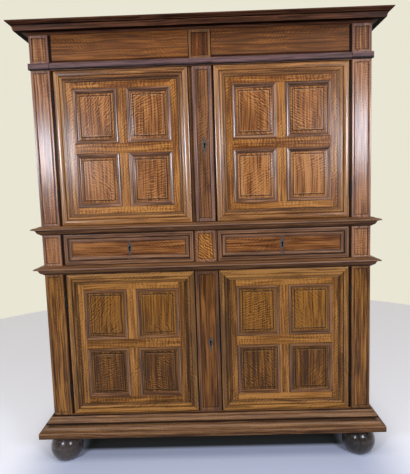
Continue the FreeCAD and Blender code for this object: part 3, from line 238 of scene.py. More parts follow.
def stand_for(node, *layers):
    """The piece that stands for a CAD node, out of layers: a material and its skins each.

    Each skin's grain is shifted at random, as each board is cut from its own place in a tree.
    Skins whose grain runs upright are marked, as they are burnished more.
    """
    name = f"{node}_finished"
    mesh = bpy.data.meshes.new(name)
    points, faces, grain, marks, material = [], [], [], [], []
    count = 0
    for number, (finish, skins) in enumerate(layers):
        mesh.materials.append(finish)
        for skin_points, skin_faces, skin_grain, rub, *figure in skins:
            tone, lean = figure or random.normal(size=2)
            upright = np.isclose(np.ptp(skin_grain[:, 0]), np.ptp(skin_points[:, 2]))
            points.append(skin_points)
            faces += [[corner + count for corner in face] for face in skin_faces]
            grain.append(skin_grain + random.uniform(-GRAIN_SHIFT, GRAIN_SHIFT, 3))
            marks.append([rub, *np.outer((tone, lean, upright), np.ones(len(rub)))])
            material += [number] * len(skin_faces)
            count += len(skin_points)
    mesh.from_pydata(np.concatenate(points).tolist(), [], faces)
    mesh.polygons.foreach_set("material_index", material)
    mesh.polygons.foreach_set("use_smooth", [True] * len(faces))
    mesh.attributes.new("grain", "FLOAT_VECTOR", "POINT").data.foreach_set(
        "vector", np.concatenate(grain).ravel())
    for label, values in zip(("rub", "tone", "lean", "upright"), np.concatenate(marks, axis=1)):
        mesh.attributes.new(label, "FLOAT", "POINT").data.foreach_set("value", values)
    mesh.update()
    mesh.set_sharp_from_angle(angle=CREASE)
    made = set_up(name, mesh)
    made.modifiers.new("flat_faces_stay_flat", "WEIGHTED_NORMAL").keep_sharp = True
    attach(made, frame["nodes"][node]["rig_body"])
    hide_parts(node)


ARC_STEPS = 6


def section(corners, across, up):
    """An outline from corners in shares of two sizes: across, up, a mark of wear, painted sheen and
    painted shade, and a rise.

    An edge with a rise, a share of its chord, swells in a parabola to the right of its way.
    """
    rows = []
    scale = np.array([across, up, 1])
    for corner, after in zip(corners, corners[1:] + corners[:1]):
        start = np.array(corner[:3]) * scale
        chord = np.array(after[:3]) * scale - start
        rise = corner[3] if len(corner) > 3 else 0
        share = np.linspace(0, 1, ARC_STEPS if rise else 1, endpoint=False)[:, None]
        swell = np.array([chord[1], -chord[0], 0]) * 4 * rise * share * (1 - share)
        rows.append(start + chord * share + swell)
    return np.concatenate(rows)


TURNING_STEPS = 56


def turned(outline, centre, axis=2):
    """A turning: an outline of radius and height, from the foot up, spun about an axis."""
    angle = np.linspace(0, 2 * np.pi, TURNING_STEPS, endpoint=False)
    radius, height, rub = outline.T
    points = np.empty((len(outline), TURNING_STEPS, 3))
    points[..., (axis + 1) % 3] = radius[:, None] * np.cos(angle)
    points[..., (axis + 2) % 3] = radius[:, None] * np.sin(angle)
    points[..., axis] = height[:, None]
    grain = np.roll(points, 2 - axis, axis=-1)[..., [2, 0, 1]]
    return rings(points + np.array(centre), grain, rub[:, None])


# how often each mark of the wood comes in a metre along, across and through a board, how far
# the grain drifts, how fast rings and ripples turn, and the wax and painted shade in a hollow
STREAKS_PER_METRE = (2.2, 70, 70)
LINES_PER_METRE = (4.0, 160, 160)
BANDS_PER_METRE = (0.8, 13, 13)
PATCHES_PER_METRE = (6, 9, 9)
WANDER_PER_METRE = (34, 26, 26)
PORES_PER_METRE = (45, 800, 800)
DRIFT_PER_METRE = 5.0
DRIFT = (0.03, 0.016, 0.016)
RING_TURNS = 46.0
RIPPLE_TURNS = 540.0
RIPPLE_WANDER = 19.0
HOLLOW_WAX_AND_SHADE = (0.05, 0.033, 0.033, 1)


def waxed_wood():
    """Node group for planed and waxed wood that follows a piece's own grain.

    Fine streaks and broad rings run along the grain, ripples cross it on a slant; a negative
    mark is wax, dust and painted shade in a hollow, a positive one a worn edge and painted sheen.
    """
    group = bpy.data.node_groups.new("waxed_wood", "ShaderNodeTree")
    for way, kind, names in (
        ("INPUT", "Color", "Dark Middle Light Bloom"),
        ("INPUT", "Float", "Streaks Rings Ripple Lean Spread Dullness Polish"),
        ("OUTPUT", "Color", "Color"), ("OUTPUT", "Float", "Roughness Coat Height"),
    ):
        for name in names.split():
            group.interface.new_socket(name, in_out=way, socket_type=f"NodeSocket{kind}")
    given = group.nodes.new("NodeGroupInput").outputs

    def scaled(first, by, plus=0.0, clamp=False):
        """The first times another, plus a third."""
        return reckon(group, "MULTIPLY_ADD", first, by, plus, clamp=clamp)

    def stretched(vector, scale, detail, roughness=0.55):
        """Noise on the vector stretched by three scales, about nought."""
        longer = add(group, "VectorMath", {0: vector, 1: scale}, operation="MULTIPLY")
        noise = add(group, "TexNoise", {
            "Vector": longer.outputs[0], "Scale": 1.0, "Detail": detail, "Roughness": roughness})
        return reckon(group, "SUBTRACT", noise.outputs["Fac"], 0.5)

    grain = add(group, "Attribute", attribute_name="grain").outputs["Vector"]
    rub, tone, lean, upright = (
        add(group, "Attribute", attribute_name=name).outputs["Fac"]
        for name in ("rub", "tone", "lean", "upright"))
    drift = add(group, "TexNoise", {"Vector": grain, "Scale": DRIFT_PER_METRE, "Detail": 1.0})
    bent = add(group, "VectorMath", {0: drift.outputs["Color"], 1: DRIFT, 2: grain},
               operation="MULTIPLY_ADD").outputs[0]
    slant = add(group, "VectorRotate", {"Vector": grain, "Angle": scaled(lean, given["Lean"])},
                rotation_type="Z_AXIS").outputs[0]
    crossing = add(group, "SeparateXYZ", {"Vector": slant}).outputs["X"]
    streaks = stretched(bent, STREAKS_PER_METRE, 5.0, 0.65)
    lines = stretched(bent, LINES_PER_METRE, 3.0)
    bands = stretched(bent, BANDS_PER_METRE, 2.0)
    patches = stretched(grain, PATCHES_PER_METRE, 1.0)
    wander = stretched(slant, WANDER_PER_METRE, 3.0)
    pores = stretched(bent, PORES_PER_METRE, 1.0)
    contour = reckon(group, "SINE", scaled(bands, RING_TURNS))
    ripple = reckon(group, "SINE", scaled(wander, RIPPLE_WANDER, scaled(crossing, RIPPLE_TURNS)))
    broken = scaled(bands, 2.0, scaled(patches, 3.5, 0.75))
    ripple = scaled(ripple, reckon(group, "MAXIMUM", broken, 0.0))
    value = 0.5
    for mark, strength in (
        (scaled(lines, 2.0, scaled(streaks, 0.85)), given["Streaks"]),
        (scaled(contour, 0.2), given["Rings"]), (scaled(ripple, 0.27), given["Ripple"]),
        (patches, 0.5), (tone, given["Spread"]), (pores, 0.4),
    ):
        value = scaled(mark, strength, value)
    lower = scaled(value, 2.0, clamp=True)
    upper = scaled(value, 2.0, -1.0, clamp=True)
    hollow = scaled(rub, -1.0, clamp=True)
    crest = scaled(rub, 1.0, clamp=True)
    # painted sheen: raised edges are paled towards a tone of wear and sheen
    wear_and_sheen = scaled(crest, scaled(streaks, 1.0, 0.4), clamp=True)
    wood = mixed(group, lower, given["Dark"], given["Middle"])
    wood = mixed(group, upper, wood, given["Light"])
    # painted shade: hollows are darkened for wax and dust and for the shade that falls in them
    wood = mixed(group, hollow, wood, HOLLOW_WAX_AND_SHADE, "MULTIPLY")
    clean = reckon(group, "SUBTRACT", 1.0, scaled(hollow, 0.9))
    feed(group.nodes.new("NodeGroupOutput"), {
        "Color": mixed(group, wear_and_sheen, wood, given["Bloom"]),
        "Roughness": scaled(streaks, 0.35, scaled(hollow, 0.3, given["Dullness"])),
        "Coat": scaled(scaled(clean, scaled(upright, 0.8, 0.2)), given["Polish"]),
        "Height": scaled(pores, 0.35, scaled(streaks, 0.65))})
    return group


waxed = waxed_wood()
COAT_ROUGHNESS = 0.2
GRAIN_DEPTH = 0.002


def walnut(name, dark, middle, light, bloom=(0.3, 0.22, 0.2), streaks=1.3, rings=0.6,
           ripple=0.0, lean=0.6, spread=0.09, dullness=0.4, sheen=0.15, coat=0.15, relief=0.12):
    """A waxed wood: three tones of its figure, the tone of its worn edges with their painted sheen,
    and its polish.
    """
    finish, tree = new_finish(name)
    figure = add(tree, "Group", {
        "Dark": (*dark, 1), "Middle": (*middle, 1), "Light": (*light, 1), "Bloom": (*bloom, 1),
        "Streaks": streaks, "Rings": rings, "Ripple": ripple, "Lean": lean, "Spread": spread,
        "Dullness": dullness, "Polish": coat}, node_tree=waxed).outputs
    bump = add(tree, "Bump", {
        "Height": figure["Height"], "Strength": relief, "Distance": GRAIN_DEPTH})
    feed(tree.nodes["Principled BSDF"], {
        "Base Color": figure["Color"], "Roughness": figure["Roughness"],
        "Coat Weight": figure["Coat"], "Coat Roughness": COAT_ROUGHNESS,
        "Specular IOR Level": sheen, "Normal": bump.outputs["Normal"]})
    return finish


def spans(node):
    """A node's reach: its lowest and highest place along x, y and z."""
    return np.transpose(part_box(node))


stained_beech = walnut(
    "stained_turning", (0.017, 0.013, 0.01), (0.043, 0.032, 0.026), (0.085, 0.064, 0.053),
    bloom=(0.16, 0.14, 0.14), streaks=1.0, rings=0.2, spread=0.3, dullness=0.27, coat=0.6,
    relief=0.05)
FOOT_WIDTH = 0.164
FOOT_SOLE = 0.100
FOOT_NECK = 0.092
FOOT_STEPS = (25, 14)
FOOT_RINGS = (0.064, 0.072)
FOOT_RING_DEPTH = 0.0006
FOOT_RING_HALF = 0.0012
# the two rings are darkened for dust and painted shade, the neck under the plinth as painted shade
FOOT_RING_DUST_AND_SHADE = -0.8
FOOT_NECK_PAINTED_SHADE = -0.6
SOLE_ROUNDING = 0.004
SOLE_EDGE = 0.001
plinth_bottom = spans("plinth_frame")[2, 0]
foot_belly = (FOOT_WIDTH ** 2 - FOOT_SOLE ** 2) ** 0.5 / 2
foot_neck = foot_belly + (FOOT_WIDTH ** 2 - FOOT_NECK ** 2) ** 0.5 / 2
foot_heights = np.unique(np.concatenate([
    foot_belly - np.cos(np.linspace(0, np.pi, FOOT_STEPS[0])) * foot_belly,
    foot_belly + np.linspace(0, 1, FOOT_STEPS[1]) * (foot_neck - foot_belly),
    np.add.outer(FOOT_RINGS, (-FOOT_RING_HALF, 0, FOOT_RING_HALF)).ravel()]))
foot_heights = foot_heights[foot_heights <= foot_neck]
foot_radii = np.sqrt(FOOT_WIDTH ** 2 / 4 - (foot_heights - foot_belly) ** 2)
in_ring = np.isin(foot_heights, FOOT_RINGS)
foot_outline = np.stack([
    foot_radii - in_ring * FOOT_RING_DEPTH, foot_heights, FOOT_RING_DUST_AND_SHADE * in_ring], axis=1)
foot_outline = np.concatenate([
    [(FOOT_SOLE / 2 - SOLE_ROUNDING, 0, 0)], foot_outline[foot_heights > SOLE_EDGE],
    [(FOOT_NECK / 2, plinth_bottom, FOOT_NECK_PAINTED_SHADE)]])
for end in ("front", "rear"):
    for side, tone in (("left", 0.9), ("right", -0.7)):
        node = f"foot_{end}_{side}"
        centre = (*spans(node)[:2].mean(axis=1), 0)
        stand_for(node, (stained_beech, [(*turned(foot_outline, centre), tone, 0.0)]))

# Plinth frame: a rough oak block over each foot and beams pinned between the blocks; it carries
# the case and is seen only from below and behind
EASED = 0.0016
EASED_SHARE = 0.4
# plank edges are paled for wear and a painted highlight
EDGE_WEAR_AND_SHEEN = 0.55
QUARTER = np.radians([0, 45, 90])
NEAR_END = np.radians([18, 50, 90])


def plank(x, y, z, along=2, eased=EASED):
    """A squared board between three pairs of faces, with eased edges, less so where it is thin.

    An oblong with rounded corners is carried along the grain and shrinks near each end along
    a quarter circle, so that a corner is an eighth of a ball.
    """
    low, high = np.sort(np.array([x, y, z], float), axis=1).T
    eased = min(eased, EASED_SHARE * (high - low).min())
    first, second = (along + 1) % 3, (along + 2) % 3
    turn = (np.arange(4)[:, None] * np.pi / 2 + QUARTER).ravel()
    corner = np.repeat([[1, 1], [-1, 1], [-1, -1], [1, -1]], len(QUARTER), axis=0)
    middle = (low + high) / 2
    half = (high - low) / 2 - eased
    widen = eased * np.sin(np.concatenate([NEAR_END, NEAR_END[::-1]]))[:, None]
    points = np.empty((2 * len(NEAR_END), len(turn), 3))
    points[..., first] = middle[first] + corner[:, 0] * half[first] + widen * np.cos(turn)
    points[..., second] = middle[second] + corner[:, 1] * half[second] + widen * np.sin(turn)
    inwards = eased * (1 - np.cos(NEAR_END))
    points[..., along] = np.concatenate([
        low[along] + inwards, high[along] - inwards[::-1]])[:, None]
    rub = np.broadcast_to(np.tile([0.0, 1.0, 0.0], 4), points.shape[:2]).copy()
    rub[[1, -2]] = 1
    rub[[0, -1]] = 0
    return rings(points, points[..., [along, first, second]], EDGE_WEAR_AND_SHEEN * rub)


def both_ends(span, size):
    """The stretches of a size at the two ends of a span."""
    return (span[0], span[0] + size), (span[1] - size, span[1])


oak = walnut("bare_oak", (0.13, 0.085, 0.05), (0.25, 0.17, 0.1), (0.36, 0.26, 0.16),
             bloom=(0.4, 0.3, 0.2), rings=0.8, dullness=0.68, coat=0.0, relief=0.4)
BLOCK = 0.104
BEAM = 0.060
x, y, z = spans("plinth_frame")
rear_block = spans("foot_rear_left")[1, 0] + FOOT_WIDTH / 2 - BLOCK / 2
skins = [plank((x[0] + BLOCK, x[1] - BLOCK), beam_y, z, along=0) for beam_y in both_ends(y, BEAM)]
for outer, inwards in ((x[0], 1), (x[1], -1)):
    block_x = (outer, outer + inwards * BLOCK)
    skins += [
        plank(block_x, (y[0], y[0] + BLOCK), z, along=0),
        plank(block_x, (rear_block, y[1]), z, along=0),
        plank((outer, outer + inwards * BEAM), (y[0] + BLOCK, rear_block), z, along=1)]
stand_for("plinth_frame", (oak, skins))

# Corner posts of the two cases: squared walnut, with rails and sides tenoned into them, the
# front pair behind the pilaster boards
case_walnut = walnut(
    "case_walnut", (0.06, 0.023, 0.007), (0.165, 0.065, 0.017), (0.3, 0.135, 0.04),
    bloom=(0.3, 0.2, 0.19), ripple=0.3, spread=0.05)
POST_WIDTH = 0.090
POST_DEPTH = 0.060
FRONT, HALF_BODY = spans("upper_pilasters")[1, 0], spans("upper_pilasters")[0, 1]
post_front, BACK = spans("upper_posts")[1]
POST_INNER = HALF_BODY - POST_WIDTH
CASES = ("lower", "upper")
for case in CASES:
    x, y, z = spans(f"{case}_posts")
    stand_for(f"{case}_posts", (case_walnut, [
        plank(post_x, post_y, z) for post_x in ((x[0], -POST_INNER), (POST_INNER, x[1]))
        for post_y in both_ends(y, POST_DEPTH)]))

# Front rails tenoned between the posts, with the upright between the drawers and the planted
# frieze boards of a redder walnut, each of which has a small bead along its foot
DIVIDER = 0.114
WAIST_HEIGHT = 0.042
RAIL_MARGIN = 0.002
LOWER_RAIL = 0.040
CASE_RAIL = 0.020
FRIEZE_BLOCK = 0.102
FRIEZE_GAP = 0.003
FRIEZE_BOARD = 0.008
GROOVE = 0.014
FORWARD = (0, -1, 0)
UPWARD = (0, 0, 1)
rail_back = spans("upper_front_rails")[1, 1]
upper_top = spans("upper_front_rails")[2, 1]
plinth_top, case_split = spans("lower_posts")[2]
belt_bottom, belt_top = spans("waist_mouldings")[2]
drawer_low, drawer_high = belt_bottom + WAIST_HEIGHT, belt_top - WAIST_HEIGHT
string_low, frieze_low = spans("string_moulding")[2]
frieze_high = spans("cornice_moulding")[2, 0]
frieze_height = frieze_high - frieze_low
inner_span = (-POST_INNER, POST_INNER)


def front_rail(low, high):
    """A rail from post to post: a plank between two heights."""
    return plank(inner_span, (FRONT, rail_back), (low, high), along=0)


def strip(outline, start, end, out, up, mitres=((0, 0), (0, 0)), stations=(0, 1), notch=None):
    """A section carried straight from start to end.

    Its first coordinate stands along out and its second along up. At each end a point runs past
    by the mitre's shares of its two coordinates. A notch keeps the first coordinate low between
    its two stations.
    """
    start, end, out, up = (np.array(vector, float) for vector in (start, end, out, up))
    along = (end - start) / np.linalg.norm(end - start)
    across, rise, rub = outline.T
    winding = np.sum(across * np.roll(rise, -1) - np.roll(across, -1) * rise)
    if winding * np.dot(np.cross(out, up), along) < 0:
        across, rise, rub = across[::-1], rise[::-1], rub[::-1]
    share = np.array(stations, float)[:, None]
    past = [mitre[0] * across + mitre[1] * rise for mitre in mitres]
    distance = share * np.linalg.norm(end - start) - (1 - share) * past[0] + share * past[1]
    across = np.broadcast_to(across, distance.shape)
    if notch:
        across = across.copy()
        held, deepest, reach = notch
        kept = (rise > reach[0]) & (rise < reach[1])
        for station in held:
            across[station] = np.where(kept, np.minimum(across[station], deepest), across[station])
    points = start + distance[..., None] * along + across[..., None] * out + rise[:, None] * up
    grain = np.stack([distance, np.broadcast_to(rise, distance.shape), across], axis=-1)
    return rings(points, grain, rub)


frieze_walnut = walnut(
    "frieze_walnut", (0.045, 0.012, 0.0022), (0.112, 0.032, 0.0048), (0.22, 0.075, 0.013),
    bloom=(0.42, 0.24, 0.1), streaks=1.3, rings=0.5, ripple=0.7, lean=1.1, spread=0.12)
frieze_section = [
    (0, 0, 0), (0.7, 0, -0.2, 0.3), (0.7, 0.075, -0.9), (0.9, 0.1, 0), (1, 0.115, 0.2),
    (1, 0.97, 0.1), (0.9, 1, -0.5), (0, 1, 0),
]
frieze_outline = section(frieze_section, FRIEZE_BOARD, frieze_height)
board_outline = section(
    [(0, 0, 0), (1, 0, -1), (1, 1, -1), (0, 1, 0)], rail_back - post_front, frieze_height)
stand_for(
    "upper_front_rails",
    (case_walnut, [
        front_rail(case_split, belt_top), front_rail(string_low - RAIL_MARGIN, frieze_low),
        strip(board_outline, (-POST_INNER, rail_back, frieze_low),
              (POST_INNER, rail_back, frieze_low), FORWARD, UPWARD),
        front_rail(frieze_high, upper_top)]),
    (frieze_walnut, [
        (*strip(frieze_outline, (sign * (FRIEZE_BLOCK / 2 + FRIEZE_GAP), post_front, frieze_low),
                (sign * (POST_INNER - GROOVE), post_front, frieze_low), FORWARD, UPWARD),
         tone, 0.5) for sign, tone in ((-1, 0.3), (1, -1.2))]))
stand_for("lower_front_rails", (case_walnut, [
    front_rail(plinth_top, plinth_top + LOWER_RAIL),
    front_rail(belt_bottom - RAIL_MARGIN, drawer_low),
    front_rail(drawer_high, drawer_high + CASE_RAIL),
    plank((-DIVIDER / 2, DIVIDER / 2), (post_front, rail_back), (drawer_low, drawer_high))]))

# Sides: walnut rails and a muntin tenoned between the posts, round two tall fielded panels
# that sit loose in their grooves
SIDE_FOOT_RAIL = 0.092
SIDE_HEAD_RAIL = {"lower": 0.240, "upper": 0.278}
SIDE_MUNTIN = 0.080
SIDE_THICKNESS = 0.026
SIDE_MARGIN = 0.004
SIDE_BEVEL = 0.034
SIDE_TENON = 0.030
PANEL_MARGIN = 0.008
PANEL_RISE = 0.005
PANEL_TONGUE = 0.006
PANEL_BACKING = 0.004
GROOVE_DEPTH = 0.009


def stacked(x, z, steps, upright=True):
    """Oblongs one before the other, back to front, each let in by a step from x and z.

    A step is how far the oblong is let in, its place in depth and its mark of wear, painted sheen
    and painted shade.
    """
    inset, depth, rub = np.array(steps, float).T
    along_x = np.stack([x[0] + inset, x[1] - inset, x[1] - inset, x[0] + inset], axis=1)
    along_z = np.stack([z[0] + inset, z[0] + inset, z[1] - inset, z[1] - inset], axis=1)
    points = np.stack([along_x, np.broadcast_to(depth[:, None], along_x.shape), along_z], axis=-1)
    grain = points[..., [2, 0, 1]] if upright else points[..., [0, 2, 1]]
    return rings(points, grain, rub[:, None])


def fielded(x, z, face, border, bevel):
    """A panel in oblongs: a tongue in its groove, a bevel, a raised field with a painted highlight
    on its edge, and dust and painted shade round both.
    """
    margin = face + PANEL_MARGIN
    back = margin + PANEL_TONGUE
    field = margin - PANEL_RISE
    return stacked(x, z, [
        (bevel, back + PANEL_BACKING, 0), (bevel, back, 0),
        (-GROOVE_DEPTH, back, 0), (-GROOVE_DEPTH, margin, 0), (border, margin, -0.6),
        (border + 0.002, margin - 0.0003, 0.2), (border + bevel - 0.0065, field + 0.003, 0.1),
        (border + bevel - 0.0045, field + 0.0027, -0.75),
        (border + bevel - 0.001, field + 0.002, -0.75),
        (border + bevel, field + 0.0012, 0.4), (border + bevel + 0.0008, field + 0.0004, 0.8),
        (border + bevel + 0.003, field, 0.5), (border + bevel + 0.0055, field, 0)])


def swung(skin, side, place):
    """A skin turned a quarter about the upright, left or right, then put in its place."""
    points, faces, grain, rub = skin
    turn = np.array([[0, -side, 0], [side, 0, 0], [0, 0, 1]])
    return points @ turn.T + np.array(place), faces, grain, rub


side_walnut = walnut(
    "side_walnut", (0.05, 0.021, 0.007), (0.14, 0.058, 0.016), (0.26, 0.12, 0.04),
    rings=0.9, ripple=0.15, dullness=0.42, coat=0.12)
for case in CASES:
    x, y, z = spans(f"{case}_left_side")
    reach = (y[1] - y[0]) / 2 - SIDE_TENON
    panel_z = (z[0] + SIDE_FOOT_RAIL, z[1] - SIDE_HEAD_RAIL[case])
    depth = (0, SIDE_THICKNESS)
    wall_skins = [
        plank((-reach, reach), depth, (z[0], panel_z[0]), along=0),
        plank((-reach, reach), depth, (panel_z[1], z[1]), along=0),
        plank((-SIDE_MUNTIN / 2, SIDE_MUNTIN / 2), depth, panel_z)]
    wall_skins += [
        fielded(sorted((sign * SIDE_MUNTIN / 2, sign * reach)), panel_z, 0, SIDE_MARGIN,
                SIDE_BEVEL) for sign in (-1, 1)]
    for side, sign in (("left", -1), ("right", 1)):
        place = (sign * HALF_BODY, y.mean(), 0)
        stand_for(f"{case}_{side}_side", (side_walnut, [
            swung(skin, sign, place) for skin in wall_skins]))

# Backs: six sawn oak boards nailed upright on two rails, with a hair's breadth between them;
# nobody planed or waxed what stands to the wall
BACK_BOARDS = 6
BACK_THICKNESS = 0.014
BACK_RAIL = 0.080
BACK_GAP = 0.0001
for case in CASES:
    x, y, z = spans(f"{case}_back")
    board_front = y[1] - BACK_THICKNESS
    edges = np.linspace(*x, BACK_BOARDS + 1)
    stand_for(f"{case}_back", (oak, [
        *[plank(inner_span, (y[0], board_front), rail_z, along=0)
          for rail_z in both_ends(z, BACK_RAIL)],
        *[plank((left + BACK_GAP, right - BACK_GAP), (board_front, y[1]), z)
          for left, right in zip(edges, edges[1:])]]))

# Floors and shelves, all bare oak: each floor is two boards nailed to three bearers, and the
# shelves lie loose on cleats
FLOOR_THICKNESS = 0.020
SHELF_THICKNESS = 0.018
BEARER = 0.040
SHELF_TOPS = (0.608, 1.462, 1.712)
CLEAT = 0.020
SIDE_INNER = HALF_BODY - SIDE_THICKNESS
for case in CASES:
    x, y, z = spans(f"{case}_floor")
    under = z[1] - FLOOR_THICKNESS
    seam = y.mean()
    stand_for(f"{case}_floor", (oak, [
        *[plank(x, board_y, (under, z[1]), along=0) for board_y in ((y[0], seam), (seam, y[1]))],
        *[plank((left, left + BEARER), (rail_back, y[1]), (z[0], under), along=1)
          for left in (-POST_INNER, -BEARER / 2, POST_INNER - BEARER)]]))
x, y, z = spans("shelves")
side_y = spans("upper_left_side")[1]
skins = []
for top in SHELF_TOPS:
    under = top - SHELF_THICKNESS
    skins.append(plank(x, y, (under, top), along=0))
    skins += [plank((sign * (SIDE_INNER - CLEAT), sign * SIDE_INNER), side_y,
                    (under - BEARER, under), along=1) for sign in (-1, 1)]
stand_for("shelves", (oak, skins))

# Runners under the drawers, kickers over them and the guide between them: planed oak, nailed
# between the front rails and the back
RUNNER = 0.020
INNER_RUNNER = 0.087
OUTER_RUNNER = 0.679
x, y, z = spans("drawer_runners")
runner_top = z[0] + RUNNER
skins = [plank((-DIVIDER / 2, DIVIDER / 2), y, (runner_top, runner_top + RUNNER), along=1)]
for sign in (-1, 1):
    for near, far, top_far in ((0, INNER_RUNNER, INNER_RUNNER),
                               (OUTER_RUNNER, SIDE_INNER, POST_INNER)):
        skins += [
            plank((sign * near, sign * far), y, (z[0], runner_top), along=1),
            plank((sign * near, sign * top_far), y, (drawer_high, z[1]), along=1)]
stand_for("drawer_runners", (oak, skins))

# Pilaster boards on the front posts: each has a sunk field between mouldings, inside a border
# whose pale grey lilac is partly wear and partly a painted sheen, with painted shade in its small
# hollows; so have the blocks between the drawers and in the frieze
PILASTER_BORDER = 0.013
PILASTER_SINK = 0.004
BELT_BLOCK = 0.098
BORDER_WEAR_AND_SHEEN = 0.55
upper_pilaster_walnut = walnut(
    "upper_pilaster_walnut", (0.1, 0.036, 0.012), (0.235, 0.09, 0.03), (0.4, 0.18, 0.07),
    bloom=(0.27, 0.19, 0.19), streaks=1.8, ripple=0.6, spread=0.1, coat=0.5)
lower_pilaster_walnut = walnut(
    "lower_pilaster_walnut", (0.065, 0.024, 0.005), (0.19, 0.073, 0.012), (0.35, 0.15, 0.03),
    bloom=(0.15, 0.09, 0.06), streaks=1.7, rings=0.7, ripple=0.25, spread=0.12)
block_walnut = walnut(
    "block_walnut", (0.11, 0.034, 0.005), (0.28, 0.105, 0.018), (0.5, 0.22, 0.05),
    bloom=(0.3, 0.22, 0.22), streaks=0.9, ripple=1.2, lean=0.9, spread=0.14)


def sunk(x, y, z, edge=PILASTER_BORDER):
    """A board in oblongs: border, small hollow and ovolo edge round a sunk flat field."""
    face, field = y[0], y[0] + PILASTER_SINK
    return stacked(x, z, [
        (0.0, y[1], 0), (0.0, face + 0.0015, -0.3), (0.0015, face, 0.9), (0.0035, face, BORDER_WEAR_AND_SHEEN),
        (edge - 0.005, face, BORDER_WEAR_AND_SHEEN), (edge - 0.0042, face + 0.0006, -0.3),
        (edge - 0.003, face + 0.0003, 0.9), (edge - 0.0012, face + 0.0014, 0.6),
        (edge - 0.0002, field - 0.0004, -1), (edge + 0.0022, field, -0.35),
        (edge + 0.005, field, 0)])


post_spans = ((-HALF_BODY, -POST_INNER), (POST_INNER, HALF_BODY))
pilaster_depth = (FRONT, post_front)
base_top = spans("base_moulding")[2, 1]
# the last two are how light the left and right pilaster are, and the blocks over them
for case, finish, middle_finish, zones, hidden, block, field_tones, block_tones in (
    ("lower", lower_pilaster_walnut, block_walnut,
     [(base_top, belt_bottom), (drawer_low, drawer_high)],
     [(plinth_top, base_top), (belt_bottom, drawer_low), (drawer_high, case_split)],
     BELT_BLOCK, (0.1, -1.4), (1.0, 0.5, -1.5)),
    ("upper", upper_pilaster_walnut, frieze_walnut,
     [(belt_top, string_low), (frieze_low, frieze_high)],
     [(case_split, belt_top), (string_low, frieze_low), (frieze_high, upper_top)],
     FRIEZE_BLOCK, (-1.0, 1.2), (-2.8, -2.2, -2.6)),
):
    long_fields = [(*sunk(span, pilaster_depth, zones[0]), tone, lean)
                   for span, tone, lean in zip(post_spans, field_tones, (0.6, -0.4))]
    short_fields = [(*sunk(span, pilaster_depth, zones[1]), tone, 0.0)
                    for span, tone in zip(post_spans, block_tones)]
    behind = [plank(span, pilaster_depth, zone) for span in post_spans for zone in hidden]
    middle = (*sunk((-block / 2, block / 2), pilaster_depth, zones[1]), block_tones[2], -0.8)
    stand_for(f"{case}_pilasters", (finish, long_fields + behind),
              (upper_pilaster_walnut, short_fields), (middle_finish, [middle]))

# Case mouldings: each is run in three lengths round front and sides, mitred at the front
# corners and glued on; their hollows are darkened for wax and painted shade, and their edges
# paled for wear and a painted sheen
plinth_walnut = walnut(
    "plinth_walnut", (0.055, 0.022, 0.008), (0.165, 0.073, 0.025), (0.31, 0.155, 0.06),
    bloom=(0.42, 0.26, 0.16), streaks=1.4, rings=0.3, ripple=0.3, spread=0.04, dullness=0.42)
waist_walnut = walnut(
    "waist_walnut", (0.05, 0.019, 0.007), (0.14, 0.058, 0.02), (0.26, 0.125, 0.048),
    bloom=(0.36, 0.22, 0.15), streaks=1.5, rings=0.3, ripple=0.2, spread=0.03, dullness=0.36)
cornice_walnut = walnut(
    "cornice_walnut", (0.015, 0.005, 0.0022), (0.048, 0.0155, 0.006), (0.105, 0.04, 0.018),
    bloom=(0.15, 0.075, 0.045), streaks=1.8, rings=0.4, spread=0.02, dullness=0.5, sheen=0.04,
    coat=0.05)
string_walnut = walnut(
    "string_walnut", (0.02, 0.009, 0.008), (0.06, 0.029, 0.027), (0.13, 0.07, 0.068),
    bloom=(0.22, 0.132, 0.132), streaks=2.2, rings=0.3, spread=0.02, dullness=0.4, coat=0.4)
# height, projection, mark (below nought painted shade and wax, above it wear and painted sheen)
# and rise, from the foot at the wall outwards and up
plinth_section = [
    (0, 0, -0.8), (0, 0.97, -0.7), (0.03, 1, -0.45), (0.25, 1, -0.25), (0.5, 1, 0.3),
    (0.53, 0.985, 0.7), (0.55, 0.93, -0.5), (0.6, 0.9, 0.0, 0.14), (0.7, 0.66, 0.7),
    (0.73, 0.64, 1), (0.79, 0.62, 1), (0.82, 0.55, 0.7, 0.16), (0.91, 0.37, -0.3),
    (0.93, 0.35, -0.6), (1, 0.34, -0.8), (1, 0, -1),
]
base_section = [
    (0, 0, -1), (0, 0.96, -1), (0.03, 1, -1), (0.14, 1, -0.9), (0.17, 0.91, -0.9),
    (0.28, 0.88, 0.6, 0.18), (0.62, 0.56, 0.6), (0.64, 0.52, -0.5), (0.7, 0.5, 0.2, 0.15),
    (0.85, 0.31, 0.6), (0.88, 0.29, 0.3), (0.93, 0.28, -0.7), (1, 0.25, -0.8), (1, 0, -1),
]
waist_section = [
    (0, 0, -0.9), (0, 0.12, -0.7), (0.08, 0.16, -0.9), (0.1, 0.22, -0.5, -0.12),
    (0.5, 0.56, -0.3), (0.56, 0.6, -0.95), (0.58, 0.7, 0.1, 0.1), (0.64, 0.97, 0.3),
    (0.69, 1, 0.9), (0.76, 1, 0.9, 0.3), (0.81, 0.9, 0.35), (0.83, 0.85, -0.8),
    (0.85, 0.8, 0.4, 0.12), (0.93, 0.4, 0.3, -0.12), (1, 0.06, -0.2), (1, 0, -0.6),
]
string_section = [
    (0, 0, -0.9), (0, 0.38, -0.8), (0.06, 0.4, -0.8, -0.15), (0.3, 0.97, -0.2), (0.34, 1, 0.6),
    (0.92, 1, 0.7), (1, 0.85, 0.4), (1, 0, -0.8),
]
